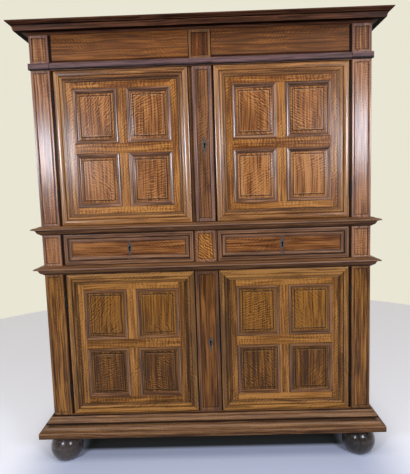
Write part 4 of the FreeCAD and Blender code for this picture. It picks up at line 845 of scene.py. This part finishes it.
cornice_section = [
    (0, 0, -0.5), (0, 0.05, 0.5), (0.02, 0.08, 0.5, 0.15), (0.12, 0.27, 0.1), (0.13, 0.3, -0.9),
    (0.13, 0.36, -1), (0.13, 0.63, -0.9), (0.14, 0.65, 0.2), (0.2, 0.66, 0.4), (0.5, 0.7, 0.1),
    (0.6, 0.72, 0.4), (0.64, 0.73, -1), (0.68, 0.745, -1), (0.7, 0.81, 0.6),
    (0.73, 0.83, 0.1, -0.12), (0.86, 0.93, -0.5), (0.89, 0.94, 0.2), (0.9, 0.99, 0.7),
    (0.98, 1, 0.2), (1, 0.99, 0.4), (1, 0, 0),
]


def run_round(node, wood, corners, height=None, projection=None, levels=None, breaks=()):
    """A moulding in three mitred strips round front and sides, at each of its levels.

    Their backs lie on the case. A size that isn't given is that of the node.
    """
    x, y, z = spans(node)
    outline = section(corners, height or z[1] - z[0], projection or x[1] - HALF_BODY)[:, [1, 0, 2]]
    skins = []
    for level in levels or z[:1]:
        left, right = (-HALF_BODY, FRONT, level), (HALF_BODY, FRONT, level)
        skins.append(strip(outline, left, right, FORWARD, UPWARD, ((1, 0), (1, 0))))
        skins += [
            strip(outline, corner, (corner[0], BACK, level), (sign, 0, 0), UPWARD, ((1, 0), (0, 0)))
            for sign, corner in ((-1, left), (1, right))]
    stand_for(node, (wood, [*skins, *breaks]))


run_round("plinth_moulding", plinth_walnut, plinth_section)
run_round("base_moulding", plinth_walnut, base_section)
run_round("waist_mouldings", waist_walnut, waist_section, WAIST_HEIGHT,
          levels=(belt_bottom, drawer_high))
STRING_PROJECTION = 0.007
STRING_BREAK = 0.004
string_face = FRONT - STRING_PROJECTION
break_outline = section(string_section, frieze_low - string_low, STRING_BREAK)[:, [1, 0, 2]]
string_breaks = [
    strip(break_outline, (left, string_face, string_low), (right, string_face, string_low),
          FORWARD, UPWARD)
    for left, right in (
        (-HALF_BODY - STRING_PROJECTION, -POST_INNER), (-FRIEZE_BLOCK / 2, FRIEZE_BLOCK / 2),
        (POST_INNER, HALF_BODY + STRING_PROJECTION))]
run_round("string_moulding", string_walnut, string_section, projection=STRING_PROJECTION,
          breaks=string_breaks)
run_round("cornice_moulding", cornice_walnut, cornice_section)
ROOF_BOARDS = 3
x, y, z = spans("cornice_top_board")
roof_edges = np.linspace(*y, ROOF_BOARDS + 1)
stand_for("cornice_top_board", (oak, [
    plank(x, board_y, z, along=0) for board_y in zip(roof_edges, roof_edges[1:])]))

# The four leaves: stiles, rails and muntins tenoned round four fielded panels, a large mitred
# moulding planted round each leaf and a small one round each panel
# the lower leaves' woods are set darker than the upper leaves', partly as painted shade for light
# that falls off towards the floor
leaf_finishes = {
    "upper": (
        walnut(
            "upper_frame_walnut", (0.115, 0.036, 0.006), (0.285, 0.108, 0.02), (0.46, 0.205, 0.05),
            bloom=(0.55, 0.32, 0.16), streaks=1.5, ripple=0.9, lean=0.75, spread=0.2, coat=0.4),
        walnut(
            "upper_panel_walnut", (0.09, 0.029, 0.006), (0.25, 0.09, 0.02), (0.43, 0.185, 0.055),
            bloom=(0.5, 0.32, 0.18), streaks=1.4, rings=0.4, ripple=1.25, lean=0.95, spread=0.15,
            coat=0.2),
        walnut(
            "upper_moulding_walnut", (0.078, 0.027, 0.006), (0.2, 0.077, 0.018),
            (0.37, 0.165, 0.046), bloom=(0.44, 0.26, 0.15), streaks=1.5, ripple=0.6, lean=1.0,
            spread=0.3, coat=1.0, relief=0.05),
        walnut(
            "upper_border_walnut", (0.055, 0.022, 0.009), (0.165, 0.068, 0.028),
            (0.32, 0.155, 0.075), bloom=(0.36, 0.23, 0.17), streaks=1.7, rings=0.2, ripple=0.3,
            spread=0.2, coat=0.9)),
    "lower": (
        walnut(
            "lower_frame_walnut", (0.1, 0.037, 0.005), (0.26, 0.104, 0.019), (0.43, 0.19, 0.042),
            bloom=(0.35, 0.19, 0.06), streaks=1.4, ripple=0.7, lean=0.75, rings=0.5, spread=0.2),
        walnut(
            "lower_panel_walnut", (0.045, 0.017, 0.003), (0.152, 0.056, 0.006), (0.3, 0.123, 0.015),
            bloom=(0.28, 0.15, 0.05), streaks=1.4, ripple=1.2, lean=0.95, spread=0.1, rings=0.4),
        walnut(
            "lower_moulding_walnut", (0.06, 0.023, 0.004), (0.17, 0.068, 0.012),
            (0.42, 0.19, 0.045), bloom=(0.34, 0.18, 0.065), streaks=1.3, ripple=0.6, lean=0.8,
            spread=0.3),
        walnut(
            "lower_border_walnut", (0.042, 0.016, 0.005), (0.14, 0.056, 0.017),
            (0.27, 0.125, 0.045), bloom=(0.3, 0.17, 0.08), streaks=1.6, rings=0.2, ripple=0.2,
            spread=0.2, coat=0.5)),
}
# moulding width, rail inside it, muntin, panel border, panel bevel
leaf_sizes = {
    "upper": (0.054, 0.031, 0.044, 0.021, 0.014),
    "lower": (0.052, 0.030, 0.047, 0.019, 0.014),
}
# panels, bottom row first: how light each is and how far its ripple leans; boards: how light the
# left and right stile, the foot, head and middle rail and the muntins are; strips of the
# moulding: how light each is, from the foot round by the right
# the lower leaves' bottom panels, the lower left leaf's right stile and the lower right leaf's left
# moulding strip are set darkest, as painted shade
leaf_figures = {
    "upper_left_door": (
        ((0.3, -0.7), (-0.7, 0.2), (-0.7, 0.9), (-0.8, 0.4)),
        (0.0, -0.3, 1.0, -0.9, -0.6, 0.0, -0.4), (0.8, 0.2, -0.8, 0.5)),
    "upper_right_door": (
        ((0.8, 0.5), (1.4, 0.4), (-0.5, -0.6), (-0.9, -0.5)),
        (-1.3, -0.8, 0.7, -1.3, -1.7, 0.5, 0.3), (0.1, 0.5, 0.3, 0.4)),
    "lower_left_door": (
        ((-2.8, 0.3), (-3.0, -0.4), (0.8, 0.9), (1.0, -0.8)),
        (0.5, -2.0, -1.3, 1.3, -0.6, 0.2, 1.1), (0.8, -0.9, 0.9, -0.3)),
    "lower_right_door": (
        ((-2.2, -0.7), (-1.4, 0.8), (1.1, 0.3), (2.3, -0.7)),
        (-0.7, -0.6, 2.0, 0.8, 0.6, 0.0, 0.0), (0.9, -0.4, 1.6, -1.1)),
}
# the upper panels' head strips are set darker, as painted shade on strips that face down
border_tones = {"upper": (0.2, 0.0, -1.1, -0.3), "lower": (0.3, 0.8, 0.9, -0.7)}
board_leans = (0.9, -1.0, 1.0, -1.1, -0.9, 1.2, 1.0)
# level strips carry a quarter of the painted sheen of upright ones
LEVEL_WEAR_AND_SHEEN = 0.25
STILE_REVEAL = 0.029
MIDDLE_RAIL = 0.047
LEAF_MOULDING = 0.014
BORDER_THICKNESS = 0.013
WIDE_BARE_STILE = 0.02
# thickness, width inwards, mark (below nought painted shade and wax, above it wear and painted
# sheen) and rise
leaf_section = [
    (0, 0, 0), (0.46, 0, -0.3), (0.52, 0.02, 0.6, 0.07), (0.52, 0.41, 0.5), (0.5, 0.43, 0.1),
    (0.36, 0.45, -1), (0.4, 0.49, -0.2, 0.24), (0.4, 0.71, 0.3), (0.32, 0.74, -0.8),
    (0.28, 0.77, -0.5, -0.14), (0.12, 0.94, -0.4), (0.1, 1, -0.8), (0, 1, 0),
]
border_section = [
    (0, 0, 0), (0.78, 0, -0.7), (0.88, 0.06, -0.2), (0.92, 0.1, 0.4, 0.05), (0.76, 0.6, 0.4),
    (0.73, 0.62, -0.2), (0.62, 0.65, -0.7), (0.6, 0.72, 0, -0.16), (0.3, 0.9, 0.2),
    (0.24, 0.94, 0.3), (0.2, 1, -0.6), (0, 1, 0),
]


def mitred_frame(outline, x, z, back, notch=None, level_wear_and_sheen=1.0):
    """Four mitred strips round an oblong, standing forward from a plane, widths inwards.

    They come from the foot round by the right. The level strips get less pale wear and painted
    sheen than the upright ones, by a share.
    """
    level = outline * np.where(outline[:, 2:] > 0, (1, 1, level_wear_and_sheen), 1)
    mitres = ((0, -1), (0, -1))
    corners = [(x[0], back, z[0]), (x[1], back, z[0]), (x[1], back, z[1]), (x[0], back, z[1])]
    inwards = [(0, 0, 1), (-1, 0, 0), (0, 0, -1), (1, 0, 0)]
    return [
        strip((level, outline)[number % 2], corners[number], corners[(number + 1) % 4], FORWARD,
              inwards[number], mitres, *(notch or {}).get(number, ()))
        for number in range(4)]


def stile(outer, inner, covered, y, z):
    """An outer upright: an oblong carried up, with painted shade in the groove by the moulding and
    at its edge.
    """
    painted_shade_extent = abs(covered - outer)
    # painted shade: the uncovered strip is darkened, less so in the middle where it is wide
    less_shaded_middle = [(1, 2 * EASED, -0.75), (1, painted_shade_extent - 4 * EASED, -0.75)]
    outline = np.array([
        (0, abs(inner - outer), 0), (0, EASED, 0), (0, 0, -1), (1, 0, -1),
        *(less_shaded_middle if painted_shade_extent > WIDE_BARE_STILE else []),
        (1, painted_shade_extent, -1), (1, painted_shade_extent + 3 * EASED, 0), (1, abs(inner - outer), 0),
    ]) * (y[1] - y[0], 1, 1)
    return strip(outline, (outer, y[1], z[0]), (outer, y[1], z[1]), FORWARD,
                 (np.sign(inner - outer), 0, 0))


for level in CASES:
    width, rail, muntin, border, bevel = leaf_sizes[level]
    frame_wood, panel_wood, moulding_wood, border_wood = leaf_finishes[level]
    leaf_outline = section(leaf_section, LEAF_MOULDING, width)
    border_outline = section(border_section, BORDER_THICKNESS, border)
    for side in ("left", "right"):
        door = f"{level}_{side}_door"
        panel_figures, board_tones, moulding_tones = leaf_figures[door]
        (outer_left, outer_right), y, z = spans(f"{door}_frame")
        x = spans(f"{door}_mouldings")[0]
        opening = (x[0] + width + STILE_REVEAL, x[1] - width - STILE_REVEAL)
        columns = both_ends(opening, (opening[1] - opening[0] - muntin) / 2)
        foot, head = z[0] + width + rail, z[1] - width - rail
        rows = both_ends((foot, head), (head - foot - MIDDLE_RAIL) / 2)
        gap = (columns[0][1], columns[1][0])
        boards = [
            stile(outer_left, opening[0], x[0], y, z), stile(outer_right, opening[1], x[1], y, z),
            plank(opening, y, (z[0], foot), along=0), plank(opening, y, (head, z[1]), along=0),
            plank(opening, y, (rows[0][1], rows[1][0]), along=0),
            plank(gap, y, rows[0]), plank(gap, y, rows[1])]
        places = [(column, row) for row in rows for column in columns]
        stand_for(f"{door}_frame", (frame_wood, [
            (*skin, *figure) for skin, *figure in zip(boards, board_tones, board_leans)]))
        stand_for(f"{door}_panels", (panel_wood, [
            (*fielded(*place, y[0], border, bevel), *figure)
            for place, figure in zip(places, panel_figures)]))
        stand_for(
            f"{door}_mouldings",
            (moulding_wood, [
                (*skin, tone, 1.0) for skin, tone in zip(
                    mitred_frame(leaf_outline, x, z, y[0], level_wear_and_sheen=LEVEL_WEAR_AND_SHEEN), moulding_tones)]),
            (border_wood, [
                (*skin, tone, 1.0) for place in places for skin, tone in zip(
                    mitred_frame(border_outline, *place, y[0] + PANEL_MARGIN, level_wear_and_sheen=LEVEL_WEAR_AND_SHEEN),
                    border_tones[level])]))

# Strips over the meeting of the leaves: a walnut board each, screwed to the left leaf, with a
# sunk field like the pilasters'
strip_finishes = {
    "upper": walnut(
        "upper_strip_walnut", (0.04, 0.016, 0.007), (0.13, 0.052, 0.019), (0.25, 0.107, 0.04),
        bloom=(0.28, 0.21, 0.22), rings=0.6, ripple=0.6, lean=0.9, spread=0.2, dullness=0.32,
        coat=0.35),
    "lower": walnut(
        "lower_strip_walnut", (0.045, 0.017, 0.003), (0.14, 0.05, 0.008), (0.27, 0.105, 0.018),
        bloom=(0.14, 0.095, 0.085), rings=1.1, ripple=0.15, dullness=0.36),
}
STRIP_BORDER = 0.017
STRIP_TONES = {"upper": 0.4, "lower": -0.3}
for level in CASES:
    node = f"{level}_left_door_strip"
    stand_for(node, (strip_finishes[level], [
        (*sunk(*spans(node), STRIP_BORDER), STRIP_TONES[level], 0.6)]))

# Ironwork: lift-off hinges forged black, a pin half let into each post and a knuckle half on
# each leaf, with three turned rings to a barrel; slip bolts and their staples are the same iron
CLOUDS_PER_METRE = 60.0
PITS_PER_METRE = 420.0
PIT_DEPTH = 0.0008
PIT_RELIEF = 0.25
METAL_WEAR = 0.5
ROUGHNESS_RANGE = 0.3


def aged_metal(name, dark, light, metallic, roughness, sheen=0.5):
    """A filed or forged metal: cloudy tone, pits and a roughness that varies with both."""
    finish, tree = new_finish(name)
    place = add(tree, "TexCoord").outputs["Object"]
    cloud, pits = (
        add(tree, "TexNoise", {"Vector": place, "Scale": scale, "Detail": detail}).outputs["Fac"]
        for scale, detail in ((CLOUDS_PER_METRE, 4.0), (PITS_PER_METRE, 2.0)))
    rub = add(tree, "Attribute", attribute_name="rub").outputs["Fac"]
    shown = reckon(tree, "MULTIPLY_ADD", rub, METAL_WEAR, cloud, clamp=True)
    bump = add(tree, "Bump", {"Height": pits, "Strength": PIT_RELIEF, "Distance": PIT_DEPTH})
    feed(tree.nodes["Principled BSDF"], {
        "Base Color": mixed(tree, shown, (*dark, 1), (*light, 1)), "Metallic": metallic,
        "Roughness": reckon(tree, "MULTIPLY_ADD", pits, ROUGHNESS_RANGE,
                            roughness - ROUGHNESS_RANGE / 2),
        "Specular IOR Level": sheen, "Normal": bump.outputs["Normal"]})
    return finish


black_iron = aged_metal(
    "black_iron", (0.004, 0.0035, 0.003), (0.014, 0.011, 0.009), 0.05, 0.62, sheen=0.15)
HALF_BARREL = 0.040
BARREL_RADIUS = 0.006
PIN_RADIUS = 0.003
PIN_REACH = 0.034
HINGE_PLAY = 0.00015
HINGE_PLATE = 0.002
HINGE_EASED = 0.0005
HINGE_SET_BACK = 0.003
HINGE_PLATE_MARGIN = 0.004
LEAF_OUTER = 0.707
hinge_x, hinge_y = POST_INNER - GROOVE / 2, FRONT + HINGE_SET_BACK
hinge_rises = {"upper": (0.134, 0.606), "lower": (0.128, 0.590)}
barrel_section = [
    (0.9, 0, 0), (1, 0.03, 0.6), (1, 0.1, 0), (0.86, 0.12, -0.6), (0.86, 0.15, -0.6),
    (1, 0.17, 0.6), (1, 0.83, 0), (0.86, 0.85, -0.6), (0.86, 0.88, -0.6), (1, 0.9, 0.6),
    (1, 0.97, 0.6), (0.9, 1, 0),
]
barrel_outline = section(barrel_section, BARREL_RADIUS, HALF_BARREL - HINGE_PLAY)
pin_outline = section([(1, 0, 0), (1, 0.9, 0), (0.5, 1, 0.4)], PIN_RADIUS, PIN_REACH)
pintles = []
hung = {}
for level in CASES:
    x, y, z = spans(f"{level}_left_door_frame")
    plate_y = (hinge_y, y[1] - HINGE_PLATE_MARGIN)
    for side, sign in (("left", -1), ("right", 1)):
        axis = (sign * hinge_x, hinge_y)
        hung[level, side] = []
        for middle in z[0] + np.array(hinge_rises[level]):
            foot, head = middle - HALF_BARREL, middle + HALF_BARREL
            pintles += [
                turned(barrel_outline, (*axis, foot)), turned(pin_outline, (*axis, middle)),
                plank((sign * (POST_INNER - HINGE_PLATE), sign * POST_INNER), plate_y,
                      (foot, middle - HINGE_PLAY), eased=HINGE_EASED)]
            hung[level, side] += [
                turned(barrel_outline, (*axis, middle + HINGE_PLAY)),
                plank((sign * LEAF_OUTER, sign * (LEAF_OUTER + HINGE_PLATE)), plate_y,
                      (middle + HINGE_PLAY, head), eased=HINGE_EASED)]
stand_for("hinge_pintles", (black_iron, pintles))

BOLT_X = 0.110
BOLT_STAND = 0.007
BOLT_RADIUS = 0.005
BOLT_LENGTH = 0.190
KNOB_RISE = 0.012
KNOB_RADIUS = 0.008
KNOB_LENGTH = 0.014
STAPLE = (0.024, 0.014, 0.012)
STAPLE_EASED = 0.002
STAPLE_RISE = 0.060
STAPLE_DROP = 0.040
rod_outline = section([(0.7, 0, 0), (1, 0.015, 0.6), (1, 0.985, 0.6), (0.7, 1, 0)],
                      BOLT_RADIUS, BOLT_LENGTH)
knob_outline = section([
    (0.55, 0, 0), (0.55, 0.45, -0.4), (0.7, 0.5, 0.4), (1, 0.68, 0.5, 0.12), (0.95, 0.9, 0.5, 0.1),
    (0.4, 1, 0.3)], KNOB_RADIUS, KNOB_LENGTH)
staple_x = (BOLT_X - STAPLE[0] / 2, BOLT_X + STAPLE[0] / 2)
for level in CASES:
    bolt = f"{level}_right_door_slip_bolt"
    bolt_foot = spans(bolt)[2, 0]
    x, y, z = spans(f"{level}_right_door_frame")
    axis = (BOLT_X, y[1] + BOLT_STAND)
    stand_for(bolt, (black_iron, [
        turned(rod_outline, (*axis, bolt_foot)),
        turned(knob_outline, (*axis, bolt_foot + KNOB_RISE), axis=1)]))
    staples = [
        plank(staple_x, (y[1], y[1] + STAPLE[1]), (foot, foot + STAPLE[2]), along=0,
              eased=STAPLE_EASED) for foot in (z[1] - STAPLE_DROP, bolt_foot + STAPLE_RISE)]
    for side, extra in (("left", []), ("right", staples)):
        stand_for(f"{level}_{side}_door_ironwork", (black_iron, hung[level, side] + extra))

# Locks: an iron case screwed to the back of the leaf, with a steel bolt, and in front a thin
# filed plate with a keyhole, nailed on with two pins
filed_steel = aged_metal("filed_steel", (0.02, 0.017, 0.015), (0.1, 0.087, 0.079), 0.6, 0.5)
# the keyhole's floor is painted near black, as the shade inside the lock
keyhole_painted_shade = walnut("wood_behind_keyhole", (0.002, 0.001, 0.001), (0.004, 0.003, 0.002),
                    (0.008, 0.006, 0.005), dullness=0.8, sheen=0.0, coat=0.0)
KEYHOLE_SHARE = 0.64
KEYHOLE_RADIUS = 0.0055
KEYHOLE_SLOT = 0.003
KEYHOLE_DROP = 0.020
PLATE_THICKNESS = 0.0015
PLATE_RUB = 0.4
KEYHOLE_RUB = 0.9
plate_half = [
    (0.02, 0, 0), (0.15, 0.03, 0, 0.2), (0.15, 0.09, 0, 0.15), (0.06, 0.12, 0), (0.2, 0.3, 0),
    (0.16, 0.35, 0), (0.28, 0.4, 0, 0.11), (0.28, 0.84, 0), (0.1, 0.88, 0), (0.12, 0.92, 0, 0.2),
    (0.02, 1, 0),
]
# the keyhole's eye, from one side of its slot round to the other, in radians
EYE_TURN = (-0.98, 4.12)
EYE_STEPS = 14


def keyhole_plate(width, height, x, face, keyhole_z):
    """A thin plate cut to an outline and its mirror image, and the floor of its keyhole, painted
    black as the shade inside the lock.

    The face is the outline less the keyhole, cut into triangles; walls run back from both.
    """
    half = section(plate_half, width, height)[:, :2]
    outer = np.concatenate([half, half[::-1] * (-1, 1)])
    outer = outer + (x, keyhole_z - KEYHOLE_SHARE * height)
    angle = np.linspace(*EYE_TURN, EYE_STEPS)
    round_eye = KEYHOLE_RADIUS * np.stack([np.cos(angle), np.sin(angle)], axis=1)
    slot = [(-KEYHOLE_SLOT, -KEYHOLE_DROP), (KEYHOLE_SLOT, -KEYHOLE_DROP)]
    hole = np.concatenate([round_eye, slot]) + (x, keyhole_z)
    flat = np.concatenate([outer, hole])
    faces = []
    loops = [[Vector((*point, 0)) for point in loop] for loop in (outer, hole)]
    for triangle in geometry.tessellate_polygon(loops):
        first, second, third = flat[list(triangle)]
        turning = np.cross(second - first, third - first)
        faces.append(triangle if turning > 0 else triangle[::-1])
    for start, count in ((0, len(outer)), (len(outer), len(hole))):
        loop = np.arange(start, start + count)
        onward = np.roll(loop, -1)
        faces += np.stack([loop, loop + len(flat), onward + len(flat), onward], axis=1).tolist()
    points = np.concatenate([
        np.insert(flat, 1, face - PLATE_THICKNESS, axis=1), np.insert(flat, 1, face, axis=1)])
    rub = np.tile(np.repeat([PLATE_RUB, KEYHOLE_RUB], [len(outer), len(hole)]), 2)
    plate = points, faces, points[:, [2, 0, 1]], rub
    bottom = np.insert(hole, 1, face - PLATE_THICKNESS / 4, axis=1)
    return plate, (bottom, [list(range(len(hole)))], bottom, np.zeros(len(hole)))


SLOT_PLAY = 0.0003
CASE_EASED = 0.002
LOCK_BOLT_EASED = 0.0008


def slotted(case, bolt, along):
    """An iron case with a slot for its bolt let into its far end, from the reaches of both.

    Oblongs follow each other along an axis: over the outside to the far end, in to the slot
    and back down to its floor.
    """
    low, high = np.array(case).T
    slot_low, slot_high = bolt[:, 0] - SLOT_PLAY, bolt[:, 1] + SLOT_PLAY
    first, second = (along + 1) % 3, (along + 2) % 3
    eased_low, eased_high = low + CASE_EASED, high - CASE_EASED
    lows = np.array([eased_low, low, low, eased_low, slot_low, slot_low])
    highs = np.array([eased_high, high, high, eased_high, slot_high, slot_high])
    places = np.array([low, eased_low, eased_high, high, high, slot_low])[:, along]
    points = np.empty((len(places), 4, 3))
    points[..., first] = np.where([False, True, True, False], highs[:, [first]], lows[:, [first]])
    points[..., second] = np.where([False, False, True, True], highs[:, [second]],
                                   lows[:, [second]])
    points[..., along] = places[:, None]
    # the case's eased edges are worn paler and its slot darkened as painted shade
    rub = np.array([0.2, 0.5, 0.5, 0.2, -0.6, -0.6])[:, None]
    return rings(points, points[..., [along, first, second]], rub)


def fit_lock(node, case, plate_size, keyhole, along):
    """A lock's case, slotted for its bolt, with its keyhole plate in front, and the bolt."""
    plate, hole = keyhole_plate(*plate_size, *keyhole)
    bolt = spans(f"{node}_bolt")
    stand_for(node, (black_iron, [slotted(case, bolt, along)]), (filed_steel, [plate]),
              (keyhole_painted_shade, [hole]))
    stand_for(f"{node}_bolt", (filed_steel, [plank(*bolt, along=along, eased=LOCK_BOLT_EASED)]))


LOCK_CASE = (0.090, 0.110)
plate_sizes = {"upper": (0.024, 0.096), "lower": (0.024, 0.080)}
for level in CASES:
    lock = f"{level}_left_door_lock"
    x, y, z = spans(lock)
    keyhole_x, keyhole_z = x.mean(), spans(f"{lock}_bolt")[2].mean()
    half_x, half_z = LOCK_CASE[0] / 2, LOCK_CASE[1] / 2
    case = ((keyhole_x - half_x, keyhole_x + half_x),
            (spans(f"{level}_left_door_frame")[1, 1], y[1]),
            (keyhole_z - half_z, keyhole_z + half_z))
    strip_face = spans(f"{level}_left_door_strip")[1, 0] + PILASTER_SINK
    fit_lock(lock, case, plate_sizes[level], (keyhole_x, strip_face, keyhole_z), along=0)

# Drawers: a walnut front with a mitred moulding round a sunk face, oak sides and bottom, an
# iron lock let in behind and a keyhole plate whose two ends are let into the moulding
drawer_walnut = walnut(
    "drawer_walnut", (0.075, 0.024, 0.006), (0.195, 0.068, 0.017), (0.36, 0.15, 0.042),
    bloom=(0.4, 0.25, 0.16), streaks=1.5, rings=0.9, ripple=0.5, lean=0.9, spread=0.2,
    dullness=0.3, coat=0.4)
drawer_moulding_walnut = walnut(
    "drawer_moulding_walnut", (0.055, 0.021, 0.008), (0.15, 0.063, 0.025), (0.28, 0.13, 0.057),
    bloom=(0.38, 0.24, 0.17), streaks=1.6, rings=0.3, dullness=0.3, coat=0.4)
drawer_section = [
    (0, 0, 0), (0.5, 0, -0.4), (0.55, 0.02, 0.8), (0.55, 0.14, 0.3), (0.55, 0.2, -0.3),
    (0.53, 0.22, -0.5), (0.55, 0.26, 0.3), (0.55, 0.38, 0.3), (0.52, 0.42, -0.5), (0.4, 0.46, -1),
    (0.4, 0.52, -1), (0.4, 0.57, 0.1, 0.36), (0.4, 0.8, 0.7), (0.35, 0.84, 0.1),
    (0.3, 0.87, 0.1, -0.12), (0.12, 0.97, -0.3), (0.1, 1, -1), (0, 1, 0),
]
DRAWER_MARGIN = 0.001
DRAWER_MOULDING = (0.013, 0.041)
DRAWER_FRONT = 0.022
DRAWER_SIDE = 0.012
DRAWER_SIDE_HEIGHT = 0.140
DRAWER_BOTTOM = (0.010, 0.018)
DRAWER_PLATE = (0.022, 0.095)
DRAWER_TONES = {"left": -0.15, "right": -0.45}
DRAWER_KEYHOLE_DROP = 0.066
DRAWER_CASE_DROP = 0.042
# the sides of a notch, in half widths of the plate, and how far the moulding stands in it
NOTCH_SIDES = (-1.05, -1.04, 1.04, 1.05)
NOTCH_FLOOR = 0.0002
drawer_outline = section(drawer_section, *DRAWER_MOULDING)
for side, sign in (("left", -1), ("right", 1)):
    x, y, z = spans(f"{side}_drawer_front")
    box_y = spans(f"{side}_drawer_box")[1]
    lock_x, lock_y, lock_z = spans(f"{side}_drawer_lock")
    front_y = y[1] - DRAWER_FRONT
    # the front's rim round its moulding is darkened as painted shade
    front_steps = [(0, y[1], 0), (0, front_y + EASED, -1), (EASED, front_y, -1),
                   (GROOVE, front_y, -1), (GROOVE + 2 * EASED, front_y, 0)]
    keyhole_x, keyhole_z = lock_x.mean(), lock_z[1] - DRAWER_KEYHOLE_DROP
    middle_edge = x[0] if sign > 0 else x[1]
    moulded_x = sorted((middle_edge + sign * DRAWER_MARGIN, sign * (POST_INNER - GROOVE)))
    moulded_z = (z[0] + DRAWER_MARGIN, z[1] - DRAWER_MARGIN)
    plate_low = keyhole_z - KEYHOLE_SHARE * DRAWER_PLATE[1]
    plate_high = plate_low + DRAWER_PLATE[1]
    stations = (keyhole_x + np.array(NOTCH_SIDES) * DRAWER_PLATE[0] / 2 - moulded_x[0]) / (
        moulded_x[1] - moulded_x[0])
    notches = {
        number: ((0, *places, 1), ((2, 3), NOTCH_FLOOR, (reach, np.inf)))
        for number, places, reach in ((0, stations, plate_low - moulded_z[0]),
                                      (2, 1 - stations[::-1], moulded_z[1] - plate_high))}
    stand_for(
        f"{side}_drawer_front",
        (drawer_walnut, [(*stacked(x, z, front_steps, upright=False), DRAWER_TONES[side],
                          sign * 0.8)]),
        (drawer_moulding_walnut, mitred_frame(
            drawer_outline, moulded_x, moulded_z, front_y, notches)))
    inner_x = (x[0] + DRAWER_SIDE, x[1] - DRAWER_SIDE)
    wall_z = (z[0], z[0] + DRAWER_SIDE_HEIGHT)
    bottom_z = z[0] + np.array(DRAWER_BOTTOM)
    stand_for(f"{side}_drawer_box", (oak, [
        *[plank(wall_x, box_y, wall_z, along=1) for wall_x in both_ends(x, DRAWER_SIDE)[::sign]],
        plank(inner_x, (y[1], box_y[1]), bottom_z, along=0),
        plank(inner_x, (box_y[1] - DRAWER_SIDE, box_y[1]), (bottom_z[1], wall_z[1]), along=0)]))
    case = lock_x, (y[1], lock_y[1]), (keyhole_z - DRAWER_CASE_DROP, lock_z[1])
    fit_lock(f"{side}_drawer_lock", case, DRAWER_PLATE, (keyhole_x, front_y, keyhole_z), along=2)
